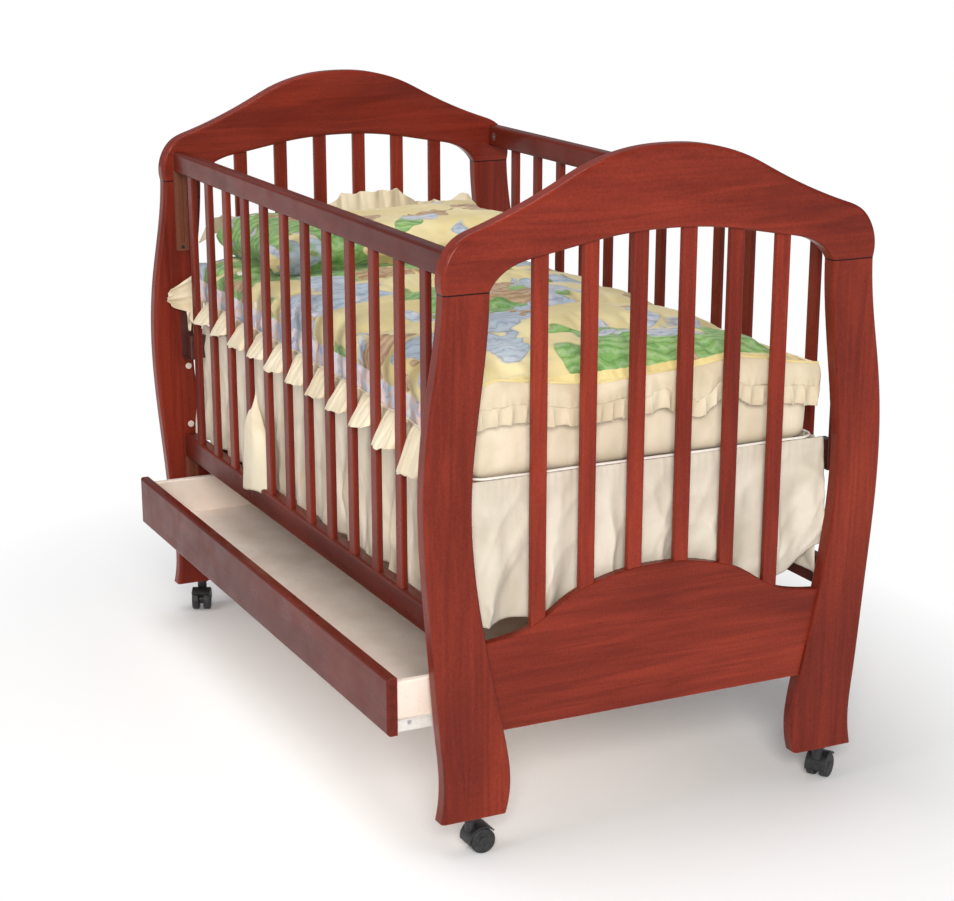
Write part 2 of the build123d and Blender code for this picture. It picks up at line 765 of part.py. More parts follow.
def drawer_holes():
    """What is cut from every wall of the drawer."""
    with Locations(bottom_place):
        Box(*[size + 2 * glue_gap for size in bottom_box], mode=Mode.SUBTRACT)
    for (x, y, z), turn in drawer_dowels:
        rod((x, y - dowel_hole_spare, z), turn, dowel_radius + glue_gap, dowel_length, Mode.SUBTRACT)
    rods(drawer_screws, drawer_screw_radius + glue_gap, drawer_screw_length, Mode.SUBTRACT)
    for (x, y, z), turn in drawer_screws:
        step = drawer_screw_head + overrun if x > 0 else -drawer_screw_head - overrun
        rod((x + step, y, z), turn, drawer_screw_head_radius + glue_gap, abs(step), Mode.SUBTRACT)
    rods(drawer_runner_screws, runner_screw_radius + glue_gap, runner_screw_length, Mode.SUBTRACT)


with BuildPart() as drawer_front:
    with BuildSketch(along(front_inner_y)):
        with Locations((0, (drawer_front_low_z + drawer_front_high_z) / 2)):
            Rectangle(2 * drawer_front_half, drawer_front_high_z - drawer_front_low_z)
    extrude(amount=drawer_front_thickness)
    fillet(drawer_front.faces().sort_by(Axis.Y)[0].edges(), drawer_front_round)
    drawer_holes()
write(drawer_front, "drawer_front")

for end_name, end in ends:
    with BuildPart() as drawer_side:
        with Locations(point(end * (drawer_side_half - drawer_side_thickness / 2),
                             (front_inner_y + drawer_back_y) / 2, wall_mid_z)):
            Box(drawer_side_thickness, wall_length, wall_height)
        fillet(drawer_side.faces().sort_by(Axis.Z)[-1].edges().filter_by(Axis.Y), slat_round)
        drawer_holes()
    write(drawer_side, f"drawer_side_{end_name}")

with BuildPart() as drawer_back:
    with Locations(point(0, drawer_back_y - drawer_back_thickness / 2, wall_mid_z)):
        Box(2 * drawer_wall_inner, drawer_back_thickness, wall_height)
    drawer_holes()
write(drawer_back, "drawer_back")

with BuildPart() as drawer_bottom:
    with Locations(bottom_place):
        Box(*bottom_box)
write(drawer_bottom, "drawer_bottom")

with BuildPart() as drawer_dowel_pins:
    rods(drawer_dowels, dowel_radius, dowel_length - dowel_hole_spare - seat_gap)
write(drawer_dowel_pins, "drawer_dowels")

with BuildPart() as drawer_back_screws:
    screws(drawer_screws, drawer_screw_radius, drawer_screw_length - dowel_hole_spare,
           drawer_screw_head_radius, drawer_screw_head)
write(drawer_back_screws, "drawer_screws")


# Roller runners: angles on the drawer's walls, channels on the legs
def roller_pin(end, wall_x, way, y, z, width):
    """A riveted pin on a runner, with a head behind its roller."""
    reach = seat_gap + width + seat_gap
    turn = outward(end * way)
    rod(point(end * (wall_x + way * reach), y, z), turn, roller_pin_radius, reach + runner_sheet / 2)
    rod(point(end * (wall_x + way * (reach + runner_sheet / 2)), y, z), turn, roller_pin_head_radius,
        runner_sheet / 2)


with BuildPart() as drawer_runners:
    flange_x = drawer_side_half + drawer_runner_reach
    wrap_x = drawer_side_half - drawer_runner_wrap
    middle_y = (front_inner_y + drawer_back_y) / 2
    low_z = drawer_side_low_z - glue_gap - runner_sheet
    for _, end in ends:
        with Locations(point(end * (drawer_side_half + runner_sheet / 2), middle_y,
                             (low_z + drawer_runner_high_z) / 2)):
            Box(runner_sheet, wall_length, drawer_runner_high_z - low_z)
        with Locations(point(end * (drawer_side_half + flange_x) / 2, middle_y,
                             drawer_runner_high_z - runner_sheet / 2)):
            Box(drawer_runner_reach, wall_length, runner_sheet)
        with Locations(point(end * (runner_wall + wrap_x) / 2, middle_y, low_z + runner_sheet / 2)):
            Box(runner_wall - wrap_x, wall_length, runner_sheet)
        roller_pin(end, runner_wall, 1, drawer_roller_y, drawer_roller_z, drawer_roller_width)
    rods(drawer_runner_screws, runner_screw_radius + glue_gap, runner_screw_length, Mode.SUBTRACT)
write(drawer_runners, "drawer_runners")

with BuildPart() as drawer_screw_set:
    screws(drawer_runner_screws, runner_screw_radius, runner_screw_length - dowel_hole_spare,
           runner_screw_head_radius, runner_screw_head)
write(drawer_screw_set, "drawer_runner_screws")

with BuildPart() as frame_runners:
    channel_length = runner_front_half + runner_back_half
    channel_mid_y = (runner_back_half - runner_front_half) / 2
    channel_low_x = drawer_side_half + runner_sheet + 2 * seat_gap
    for _, end in ends:
        with Locations(point(end * (inner_x - runner_sheet / 2), channel_mid_y,
                             (runner_low_z + runner_high_z) / 2)):
            Box(runner_sheet, channel_length, runner_high_z - runner_low_z)
        for z in (runner_low_z + runner_sheet / 2, runner_high_z - runner_sheet / 2):
            with Locations(point(end * (channel_low_x + inner_x) / 2, channel_mid_y, z)):
                Box(inner_x - channel_low_x, channel_length, runner_sheet)
        roller_pin(end, runner_face, -1, frame_roller_y, frame_roller_z, frame_roller_width)
    rods(frame_runner_screws, runner_screw_radius + glue_gap, runner_screw_length, Mode.SUBTRACT)
write(frame_runners, "frame_runners")

with BuildPart() as frame_screw_set:
    screws(frame_runner_screws, runner_screw_radius, runner_screw_length,
           runner_screw_head_radius, runner_screw_head)
write(frame_screw_set, "frame_runner_screws")


def rollers(wall_x, way, y, z, width):
    for _, end in ends:
        face_x = end * (wall_x + way * seat_gap)
        face = Plane(origin=point(face_x, y, z), x_dir=(0, 1, 0), z_dir=(end * way, 0, 0))
        with BuildSketch(face) as ring:
            Circle(roller_radius)
            Circle(roller_pin_radius + turn_gap, mode=Mode.SUBTRACT)
        extrude(ring.sketch, amount=width)


with BuildPart() as drawer_rollers:
    rollers(runner_wall, 1, drawer_roller_y, drawer_roller_z, drawer_roller_width)
write(drawer_rollers, "drawer_rollers")

with BuildPart() as frame_rollers:
    rollers(runner_face, -1, frame_roller_y, frame_roller_z, frame_roller_width)
write(frame_rollers, "frame_rollers")

# Casters: a socket in each leg, a swivelling hood on a stem, and two wheels pressed on one axle
with BuildPart() as caster_sockets:
    for x, y, z in sockets:
        rod((x, y, z + stem_in_leg), turned["+z"], socket_radius, stem_in_leg)
        rod((x, y, z), turned["+z"], socket_flange_radius, socket_flange)
        rod((x, y, z + stem_in_leg), turned["+z"], stem_radius + turn_gap,
            stem_in_leg + socket_flange, Mode.SUBTRACT)
write(caster_sockets, "caster_sockets")

wheel_inner = caster_web / 2 + wheel_side_gap
caster_half_width = wheel_inner + wheel_width
pocket_radius = wheel_radius + hood_gap
hood_radius = pocket_radius + hood_thickness
hood_start = 90 + hood_lean - hood_arc
collar_top_z = leg_foot_z - socket_flange - seat_gap
corners = [(end_name, end, side_name, side) for end_name, end in ends for side_name, side in sides]

for end_name, end, side_name, side in corners:
    corner = f"{end_name}_{side_name}"
    angle = swivel[corner] * pi / 180
    stem_x, stem_y = end * end_mid_x, mid_y + side * leg_foot_mid
    axle_side = Plane(
        origin=(stem_x + caster_trail * cos(angle), stem_y + caster_trail * sin(angle), wheel_radius),
        x_dir=(cos(angle), sin(angle), 0),
        z_dir=(sin(angle), -cos(angle), 0),
    )

    with BuildPart() as housing:
        with Locations((stem_x, stem_y, collar_top_z)):
            Cylinder(collar_radius, wheel_radius, align=(Align.CENTER, Align.CENTER, Align.MAX))
        with BuildSketch(axle_side):
            Circle(pocket_radius)
        extrude(amount=caster_half_width, both=True, mode=Mode.SUBTRACT)
        with BuildSketch(axle_side):
            with BuildLine():
                hood_outside = CenterArc((0, 0), hood_radius, hood_start, 2 * hood_arc)
                hood_inside = CenterArc((0, 0), pocket_radius, hood_start, 2 * hood_arc)
                Line(hood_outside @ 0, hood_inside @ 0)
                Line(hood_outside @ 1, hood_inside @ 1)
            make_face()
        extrude(amount=caster_half_width, both=True)
        with BuildSketch(axle_side):
            with BuildLine():
                web_rim = CenterArc((0, 0), hood_radius, hood_start, 2 * hood_arc)
                Line(web_rim @ 0, (0, 0))
                Line(web_rim @ 1, (0, 0))
            make_face()
            Circle(hub_radius + hood_thickness)
        extrude(amount=caster_web / 2, both=True)
        with Locations((stem_x, stem_y, collar_top_z)):
            Cylinder(stem_radius, stem_in_leg, align=(Align.CENTER, Align.CENTER, Align.MIN))
        with BuildSketch(axle_side):
            Circle(axle_radius + turn_gap)
        extrude(amount=caster_web, both=True, mode=Mode.SUBTRACT)
    write(housing, f"caster_housing_{corner}")

    with BuildPart() as axle:
        with BuildSketch(axle_side):
            Circle(axle_radius)
        extrude(amount=caster_half_width, both=True)
    write(axle, f"caster_axle_{corner}")

    with BuildPart() as wheels:
        for way in (-1, 1):
            with BuildSketch(axle_side.offset(way * wheel_inner)):
                Circle(wheel_radius)
            extrude(amount=way * wheel_width)
        rims = wheels.edges().filter_by(GeomType.CIRCLE)
        fillet(rims, tread_round)
        for way in (-1, 1):
            with BuildSketch(axle_side.offset(way * caster_half_width)):
                Circle(hub_radius)
            extrude(amount=way * hub_rise)
        with BuildSketch(axle_side):
            Circle(axle_radius + glue_gap)
        extrude(amount=caster_half_width + glue_gap, both=True, mode=Mode.SUBTRACT)
    write(wheels, f"caster_wheels_{corner}")


# Bedding
def cushion_outline(half_x, half_y, corner, pull):
    """A rounded rectangle whose four sides are drawn in between its corners."""
    right, high = half_x - corner, half_y - corner
    places = [(half_x, -high), (half_x, high), (right, half_y), (-right, half_y),
              (-half_x, high), (-half_x, -high), (-right, -half_y), (right, -half_y)]
    bulges = [pull, -corner * corner_sagitta_share] * (len(places) // 2)
    with BuildLine() as outline:
        for start, stop, bulge in zip(places, places[1:] + places[:1], bulges):
            SagittaArc(start, stop, bulge)
    make_face(outline.edges())


def cushion(middle_x, half_x, half_y, low_z, height, level_shares, corner, pull):
    levels = []
    for rise, inset in level_shares:
        with BuildSketch(Plane(origin=point(middle_x, 0, low_z + height * rise))) as section:
            cushion_outline(half_x - height * inset, half_y - height * inset, corner, pull)
        levels.append(section.sketch.faces()[0])
    loft(levels, ruled=True)


mattress_low_z = base_top_z + seat_gap
mattress_top_z = mattress_low_z + mattress_height
with BuildPart() as mattress:
    cushion(0, mattress_half_length, mattress_half_width, mattress_low_z, mattress_height,
            mattress_level_shares, mattress_corner, mattress_pull)
write(mattress, "mattress")

pillow_low_z = quilt_crown_head_z + seat_gap
with BuildPart() as pillow:
    cushion(pillow_length / 2 - quilt_half_length, pillow_length / 2, pillow_half_width, pillow_low_z,
            pillow_height, pillow_level_shares, pillow_corner, pillow_pull)
write(pillow, "pillow")


def folded_strip(half_length, folds, depth, offset):
    """The cut through a hanging strip of cloth: folds in and out along its length."""
    places = [(step, offset) for step in spread(folds + 1, 2 * half_length / folds)]
    with BuildLine() as outline:
        for index, (start, stop) in enumerate(zip(places, places[1:])):
            way = depth if index % 2 else -depth
            SagittaArc(start, stop, way)
            SagittaArc((start[0], offset + skirt_thickness), (stop[0], offset + skirt_thickness), way)
        for x, y in (places[0], places[-1]):
            Line((x, y), (x, y + skirt_thickness))
    make_face(outline.edges())


# The skirt hangs from the mattress in four panels, open at the corners for the base's brackets
skirt_top_z = mattress_low_z + skirt_top_rise
skirt_panels = (
    (skirt_half_length, mattress_half_width, (0, -1)),
    (skirt_half_length, mattress_half_width, (0, 1)),
    (skirt_half_width, mattress_half_length, (-1, 0)),
    (skirt_half_width, mattress_half_length, (1, 0)),
)
with BuildPart() as skirt:
    for half_length, stand_off, (out_x, out_y) in skirt_panels:
        folds = 2 * round(2 * half_length / skirt_fold_pitch)
        for z, depth, flare in ((skirt_top_z, skirt_gather, 0), (skirt_hem_z, skirt_fold, skirt_flare)):
            with BuildSketch(Plane(origin=point(0, 0, z), x_dir=(out_y, -out_x, 0), z_dir=(0, 0, 1))):
                folded_strip(half_length, folds, depth, stand_off + seat_gap + flare)
        loft(ruled=True)
write(skirt, "mattress_skirt")


def between(value, low, high, low_result, high_result):
    """Straight run from one result to the other while the value goes from low to high."""
    share = min(max((value - low) / (high - low), 0), 1)
    return low_result + (high_result - low_result) * share


pillow_end_x = pillow_length - quilt_half_length
quilt_low_z = mattress_top_z + seat_gap
panel_length = 2 * quilt_half_length / quilt_panel_count
stations = [
    (panel_length * (panel + step / len(quilt_bulge_shares)) - quilt_half_length, bulge)
    for panel in range(quilt_panel_count) for step, bulge in enumerate(quilt_bulge_shares)
]
stations.append((quilt_half_length, quilt_bulge_shares[0]))

with BuildPart() as quilt:
    flap_out = mattress_half_width + quilt_flap_gap + quilt_flap
    flap_in = mattress_half_width + quilt_flap_gap
    for x, bulge in stations:
        crown_z = between(x, pillow_end_x + panel_length / 4, pillow_end_x + panel_length,
                          quilt_crown_head_z, quilt_crown_z)
        crown_z = between(x, quilt_half_length - panel_length, quilt_half_length,
                          crown_z, quilt_crown_foot_z)
        crown_z -= quilt_channel * (1 - bulge)
        hem_z = between(x, -quilt_half_length, quilt_half_length, flap_hem_head_z, flap_hem_foot_z)
        shoulder_z = (crown_z + quilt_low_z + quilt_edge) / 2
        bend = 2 * quilt_flap
        far_low = (mattress_half_width - quilt_edge / 2, quilt_low_z)
        far_high = (mattress_half_width - quilt_edge / 2, quilt_low_z + quilt_edge)
        shoulder = (bend - flap_out, shoulder_z)
        drop = (-flap_out, shoulder_z - bend)
        with BuildSketch(across(x)):
            with BuildLine():
                ThreePointArc(far_low, (mattress_half_width, quilt_low_z + quilt_edge / 2), far_high)
                ThreePointArc(far_high, (0, crown_z), shoulder)
                SagittaArc(shoulder, drop, -bend * corner_sagitta_share)
                Line(drop, (-flap_out, hem_z))
                Line((-flap_out, hem_z), (-flap_in, hem_z))
                Line((-flap_in, hem_z), (-flap_in, quilt_low_z))
                Line((-flap_in, quilt_low_z), far_low)
            make_face()
    loft(ruled=True)
write(quilt, "quilt")
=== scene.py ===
import math

import bpy
from mathutils import Matrix, Vector, noise


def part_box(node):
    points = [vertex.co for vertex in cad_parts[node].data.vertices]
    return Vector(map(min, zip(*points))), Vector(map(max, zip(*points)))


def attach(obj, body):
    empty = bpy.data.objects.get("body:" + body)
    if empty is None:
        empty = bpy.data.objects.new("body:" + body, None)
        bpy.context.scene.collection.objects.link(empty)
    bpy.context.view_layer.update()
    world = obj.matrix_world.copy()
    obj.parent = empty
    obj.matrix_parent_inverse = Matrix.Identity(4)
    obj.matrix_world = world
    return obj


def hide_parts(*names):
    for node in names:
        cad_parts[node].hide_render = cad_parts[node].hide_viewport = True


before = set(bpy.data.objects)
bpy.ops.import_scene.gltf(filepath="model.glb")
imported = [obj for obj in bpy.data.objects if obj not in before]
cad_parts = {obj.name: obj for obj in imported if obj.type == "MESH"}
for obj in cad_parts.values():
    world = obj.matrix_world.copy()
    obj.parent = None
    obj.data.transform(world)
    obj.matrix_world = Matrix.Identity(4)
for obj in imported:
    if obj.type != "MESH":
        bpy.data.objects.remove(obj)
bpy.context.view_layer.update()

# Metres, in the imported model's frame. X runs along the crib, head at -X. The crib's middle plane
# stands MID off the frame's. Places are measured from it, until in_frame() or + MID moves them.
scene = bpy.context.scene
X, Y, Z = 0, 1, 2
LOW, HIGH = 0, 1


def tenths(value):
    """Rounded to a tenth of a millimetre."""
    return round(value, 4)


def cad(name, corner, axis):
    """A CAD node's lowest or highest place along an axis."""
    return tenths(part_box(name)[corner][axis])


MID = tenths((cad("mattress", LOW, Y) + cad("mattress", HIGH, Y)) / 2)
HEAD = cad("quilt", LOW, X)
HALF_LENGTH = cad("mattress", HIGH, X)  # of the mattress
HALF_WIDTH = tenths(cad("mattress", HIGH, Y) - MID)
ARCH_JOINT = cad("head_arch", LOW, Z)
SLATS, SLAT_WIDTH = 12, 0.025
GAPS = SLATS - 1
GAP_STEP = tenths((cad("gate_slats", HIGH, X) - cad("gate_slats", LOW, X) - SLAT_WIDTH) / GAPS)
SLAT_FRONT = tenths(MID - cad("gate_slats", LOW, Y))  # outer face of the gate's slats
QUILT_LOW = tenths(cad("mattress", HIGH, Z) + 0.0006)  # just above the mattress
SKIRT_HEM = tenths(cad("mattress_skirt", LOW, Z) + 0.002)
SEAM = tenths(cad("mattress", LOW, Z) + 0.008)  # where the skirt is sewn to the mattress cover
FLAP_EDGE = 0.636  # where the quilt's hanging part ends and its ruffle begins
TABS_HEM = 0.597  # where that ruffle ends
CLOTH = 0.0009  # thickness of the satin
PIPING = 0.0022  # radius of the pipings
EVEN = (1, 1, 1)  # a pattern that isn't stretched


# Small helpers

def lerp(a, b, t):
    return a + (b - a) * t


def smooth(value, low, high):
    """0 below low, 1 above high, and a soft step between."""
    t = min(max((value - low) / (high - low), 0.0), 1.0)
    return t * t * (3 - 2 * t)


def in_frame(place):
    """Moves a place from the crib's middle plane to the frame's."""
    return Vector((place.x, place.y + MID, place.z))


def rough(x, y=0.0, z=0.0):
    """Smooth seeded noise between about -1 and 1."""
    return noise.noise(Vector((x, y, z)))


def through(points, value):
    """Straight run through a table of (place, result)."""
    if value <= points[0][0]:
        return points[0][1]
    for (a, low), (b, high) in zip(points, points[1:]):
        if value <= b:
            return lerp(low, high, (value - a) / (b - a))
    return points[-1][1]


def running(points):
    """How far along the line each of its points is."""
    runs = [0.0]
    for a, b in zip(points, points[1:]):
        runs.append(runs[-1] + (b - a).length)
    return runs


def resampled(points, count):
    """The same line with count + 1 points at equal steps."""
    runs = running(points)
    out, at = [], 0
    for index in range(count + 1):
        want = runs[-1] * index / count
        while at < len(points) - 2 and runs[at + 1] < want:
            at += 1
        share = (want - runs[at]) / max(runs[at + 1] - runs[at], 1e-9)
        out.append(points[at].lerp(points[at + 1], min(share, 1.0)))
    return out


def grid_faces(rows, columns, first=0, closed=False, flip=False):
    """Quads of a grid of points that was written row by row."""
    faces = []
    for r in range(rows - 1):
        for c in range(columns if closed else columns - 1):
            d = (c + 1) % columns
            quad = (first + r * columns + c, first + r * columns + d,
                    first + (r + 1) * columns + d, first + (r + 1) * columns + c)
            faces.append(quad[::-1] if flip else quad)
    return faces


def smooth_faces(made):
    for polygon in made.data.polygons:
        polygon.use_smooth = True


def piece(name, points, faces, materials, body="frame", indices=None, uvs=None):
    """A new object from points in the frame. indices are its faces' materials."""
    mesh = bpy.data.meshes.new(name)
    mesh.from_pydata(points, [], faces)
    made = bpy.data.objects.new(name, mesh)
    scene.collection.objects.link(made)
    for material in materials:
        mesh.materials.append(material)
    smooth_faces(made)
    if indices:
        for polygon, index in zip(mesh.polygons, indices):
            polygon.material_index = index
    if uvs:
        layer = mesh.uv_layers.new(name="cut")
        for loop in mesh.loops:
            layer.data[loop.index].uv = uvs[loop.vertex_index]
    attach(made, body)
    return made


def settled(made):
    """Puts what the modifiers give into the mesh."""
    graph = bpy.context.evaluated_depsgraph_get()
    mesh = bpy.data.meshes.new_from_object(made.evaluated_get(graph))
    made.modifiers.clear()
    made.data = mesh


def modified(made, kind, **settings):
    """Adds a modifier and gives it back."""
    modifier = made.modifiers.new(kind.title(), kind)
    for name, value in settings.items():
        setattr(modifier, name, value)
    return modifier


def swollen(made, pressure, slack, cap, held=None, frames=20):
    """Blows a cover up as cloth. No point moves further than cap(rest place)."""
    rest = [vertex.co.copy() for vertex in made.data.vertices]
    if held:
        group = made.vertex_groups.new(name="held")
        for index, weight in held.items():
            group.add([index], weight, "REPLACE")
    cloth = modified(made, "CLOTH")
    cloth.settings.quality = 6
    cloth.settings.mass = 0.3
    cloth.settings.use_pressure = True
    cloth.settings.uniform_pressure_force = pressure
    cloth.settings.effector_weights.gravity = 0
    cloth.settings.shrink_min = -slack
    cloth.settings.tension_stiffness = 20
    cloth.settings.compression_stiffness = 20
    cloth.settings.bending_stiffness = 0.6
    if held:
        cloth.settings.vertex_group_mass = "held"
    scene.frame_start, scene.frame_end = 1, frames
    for step in range(1, frames + 1):
        scene.frame_set(step)
    settled(made)
    scene.frame_set(1)
    for vertex, place in zip(made.data.vertices, rest):
        move = vertex.co - place
        most = cap(place)
        if move.length > most:
            vertex.co = place + move * (most / move.length)
    made.vertex_groups.clear()


def subdivided(made):
    """Rounds a piece by one level and shades it smooth."""
    modified(made, "SUBSURF", levels=1, render_levels=1)
    settled(made)
    smooth_faces(made)


def reshaped(made, change):
    """Moves every point to change(place, normal)."""
    count = len(made.data.vertices)
    flat, normals = [0.0] * (3 * count), [0.0] * (3 * count)
    made.data.vertices.foreach_get("co", flat)
    made.data.vertices.foreach_get("normal", normals)
    for i in range(0, 3 * count, 3):
        flat[i:i + 3] = change(Vector(flat[i:i + 3]), Vector(normals[i:i + 3]))
    made.data.vertices.foreach_set("co", flat)
    made.data.update()


def tube(name, line, material, closed=False):
    """A round piping along a line of points in the frame."""
    points, count, around = [], len(line), 8
    for index, place in enumerate(line):
        if closed:
            way = line[(index + 1) % count] - line[index - 1]
        else:
            way = line[min(index + 1, count - 1)] - line[max(index - 1, 0)]
        way.normalize()
        side = way.cross(Vector((0, 0, 1)))
        side = side.normalized() if side.length > 0.1 else Vector((1, 0, 0))
        up = side.cross(way)
        twist = 0.15 * rough(index * 0.7, 3.0)
        for step in range(around):
            turn = 2 * math.pi * (step + twist) / around
            points.append(place + (side * math.cos(turn) + up * math.sin(turn)) * PIPING)
    faces = grid_faces(count, around, closed=True)
    if closed:
        last = (count - 1) * around
        for step in range(around):
            after = (step + 1) % around
            faces.append((last + step, last + after, after, step))
    return piece(name, points, faces, [material])


def cloth_sheet(made):
    """Gives a gathered strip its thickness."""
    modified(made, "SOLIDIFY", thickness=CLOTH, offset=0.0)


# Materials

def tone(red, green, blue):
    """A colour as the eye names it, from 0 to 255, turned into light."""
    out = []
    for part in (red, green, blue):
        share = part / 255
        out.append(share / 12.92 if share <= 0.04045 else ((share + 0.055) / 1.055) ** 2.4)
    return (*out, 1.0)


class Finish:
    """A node material that is built step by step."""

    def __init__(self, name):
        self.material = bpy.data.materials.new(name)
        self.material.use_nodes = True
        self.nodes = self.material.node_tree.nodes
        self.links = self.material.node_tree.links
        self.shader = self.nodes["Principled BSDF"]
        self.place = self.node("ShaderNodeTexCoord", "Object")

    def put(self, socket, value):
        if isinstance(value, bpy.types.NodeSocket):
            self.links.new(value, socket)
        else:
            socket.default_value = value

    def node(self, kind, output=0, inputs=(), **settings):
        made = self.nodes.new(kind)
        for name, value in settings.items():
            setattr(made, name, value)
        for name, value in dict(inputs).items():
            self.put(made.inputs[name], value)
        return made.outputs[output]

    def sum(self, operation, a, b=0.0):
        return self.node("ShaderNodeMath", 0, {0: a, 1: b}, operation=operation)

    def span(self, value, low, high, out_low=0.0, out_high=1.0):
        return self.node("ShaderNodeMapRange", 0, {
            "Value": value, "From Min": low, "From Max": high, "To Min": out_low, "To Max": out_high})

    def mapped(self, stretch, offset=(0, 0, 0), vector=None):
        return self.node("ShaderNodeMapping", 0, {
            "Vector": vector or self.place, "Scale": stretch, "Location": offset})

    def clouds(self, vector, scale, detail=2.0, distortion=0.0):
        return self.node("ShaderNodeTexNoise", 0, {
            "Vector": vector, "Scale": scale, "Detail": detail, "Distortion": distortion})

    def mix(self, share, a, b):
        return self.node("ShaderNodeMix", 2, {0: share, 6: a, 7: b}, data_type="RGBA")

    def ramp(self, value, stops):
        made = self.nodes.new("ShaderNodeValToRGB")
        self.links.new(value, made.inputs[0])
        elements = made.color_ramp.elements
        while len(elements) < len(stops):
            elements.new(0.5)
        for element, (place, color) in zip(elements, stops):
            element.position, element.color = place, color
        return made.outputs[0]

    def highlit_edges(self, radius, low, high):
        """Mask of a painted highlight: 1 on convex edges, 0 on flats, broken up a little."""
        bevel = self.node("ShaderNodeBevel", 0, {"Radius": radius}, samples=4)
        normal = self.node("ShaderNodeNewGeometry", "Normal")
        same = self.node("ShaderNodeVectorMath", "Value", {0: bevel, 1: normal}, operation="DOT_PRODUCT")
        mask = self.span(same, high, low)
        patchy = self.span(self.clouds(self.place, 38, 3), 0.32, 0.6)
        return self.sum("MULTIPLY", mask, patchy)

    def bump(self, height, strength, distance, before=None):
        inputs = {"Height": height, "Strength": strength, "Distance": distance}
        if before:
            inputs["Normal"] = before
        return self.node("ShaderNodeBump", 0, inputs)

    def weave(self, pitch, vector=None):
        """Height of crossing threads."""
        vector = vector or self.place
        rows = [self.node("ShaderNodeTexWave", 1, {"Vector": vector, "Scale": 0.314 / pitch,
                                                   "Distortion": 0.6, "Detail": 1.0, "Detail Scale": 1.0},
                          bands_direction=way) for way in ("X", "Y", "Z")]
        return self.sum("ADD", rows[0], self.sum("ADD", rows[1], rows[2]))

    def done(self, **inputs):
        for name, value in inputs.items():
            self.put(self.shader.inputs[name.replace("_", " ")], value)
        return self.material


WOOD_TONES = ((0.30, (86, 27, 19)), (0.46, (112, 38, 26)), (0.58, (132, 47, 32)), (0.75, (156, 62, 41)))


def lacquered_wood(name, along, seed, light=1.0, joint=None):
    """Red-brown stained wood under satin lacquer, its grain along one axis, with a dark joint at a height.
    light brightens or darkens the tones, giving lit and shaded copies of one wood: painted light and shade.
    """
    f = Finish(name)
    stretch, slow = [1.0, 1.0, 1.0], [1.0, 1.0, 1.0]
    stretch[along], slow[along] = 0.055, 0.3
    flow = f.mapped(stretch, (seed * 1.7, seed * 0.9, seed * 2.3))
    broad = f.clouds(f.mapped(slow, (seed * 3.1, seed, seed * 0.7)), 7.5, 3, 0.5)
    grain = f.clouds(flow, 62, 5, 1.4)
    pores = f.span(f.clouds(flow, 520, 3), 0.6, 0.74)
    speckle = f.clouds(f.place, 310, 2)
    figure = f.sum("ADD", f.sum("MULTIPLY", grain, 0.34),
                   f.sum("ADD", f.sum("MULTIPLY", broad, 0.46), f.sum("MULTIPLY", speckle, 0.2)))
    # light scales the tones: painted light and shade
    color = f.ramp(figure, [(at, tone(*[part * light for part in parts])) for at, parts in WOOD_TONES])
    color = f.mix(f.sum("MULTIPLY", pores, 0.22), color, tone(58, 15, 12))
    # Painted highlight: the rounded edges turn a lighter orange
    color = f.mix(f.sum("MULTIPLY", f.highlit_edges(0.0035, 0.72, 0.97), 0.35), color, tone(188, 88, 56))
    if joint is not None:
        height = f.node("ShaderNodeSeparateXYZ", "Z", {"Vector": f.place})
        away = f.sum("ABSOLUTE", f.sum("SUBTRACT", height, joint))
        color = f.mix(f.span(away, 0.0014, 0.0007), color, tone(28, 9, 8))
    gloss = f.span(f.clouds(f.place, 21, 3), 0.3, 0.7, 0.25, 0.4)
    fine = f.bump(f.sum("SUBTRACT", grain, pores), 0.16, 0.0007)
    return f.done(Base_Color=color, Roughness=gloss, Normal=fine, Specular_IOR_Level=0.10,
                  Coat_Weight=0.09, Coat_Roughness=0.12)


PALE_TONES = ((172, 132, 88), (204, 166, 118), (222, 190, 146))


def bare_wood(name, along, seed):
    f = Finish(name)
    stretch = [1.0, 1.0, 1.0]
    stretch[along] = 0.06
    flow = f.mapped(stretch, (seed, seed * 1.3, 0))
    grain = f.clouds(flow, 75, 4, 0.8)
    color = f.ramp(grain, [(at, tone(*parts)) for at, parts in zip((0.3, 0.55, 0.72), PALE_TONES)])
    return f.done(Base_Color=color, Roughness=0.68, Normal=f.bump(grain, 0.2, 0.0006))


def board(name):
    """Pale coated fibreboard with faint mottling and scuffs."""
    f = Finish(name)
    mottle = f.clouds(f.place, 14, 4, 0.3)
    scuffs = f.span(f.clouds(f.mapped((0.25, 1, 1)), 120, 4, 2.0), 0.62, 0.72)
    color = f.ramp(mottle, [(0.3, tone(232, 214, 200)), (0.7, tone(246, 232, 220))])
    color = f.mix(f.sum("MULTIPLY", scuffs, 0.35), color, tone(200, 180, 164))
    return f.done(Base_Color=color, Roughness=0.48, Normal=f.bump(f.clouds(f.place, 900, 2), 0.12, 0.0003))


def moulded(name, color, roughness, speck=0.12):
    f = Finish(name)
    mottle = f.span(f.clouds(f.place, 160, 3), 0.3, 0.7, 0.0, speck)
    worn = f.mix(mottle, tone(*color), tone(*[min(part + 60, 255) for part in color]))
    grit = f.bump(f.clouds(f.place, 2400, 2), 0.18, 0.0002)
    return f.done(Base_Color=worn, Roughness=roughness, Normal=grit)


def metal(name, color, roughness):
    f = Finish(name)
    brushed = f.clouds(f.mapped((1, 1, 0.08)), 900, 3)
    shade = f.mix(f.span(brushed, 0.3, 0.7, 0.0, 0.5), tone(*color), tone(*[part * 0.7 for part in color]))
    uneven = f.span(brushed, 0.3, 0.7, roughness, roughness + 0.15)
    return f.done(Base_Color=shade, Metallic=1.0, Roughness=uneven, Normal=f.bump(brushed, 0.08, 0.0002))


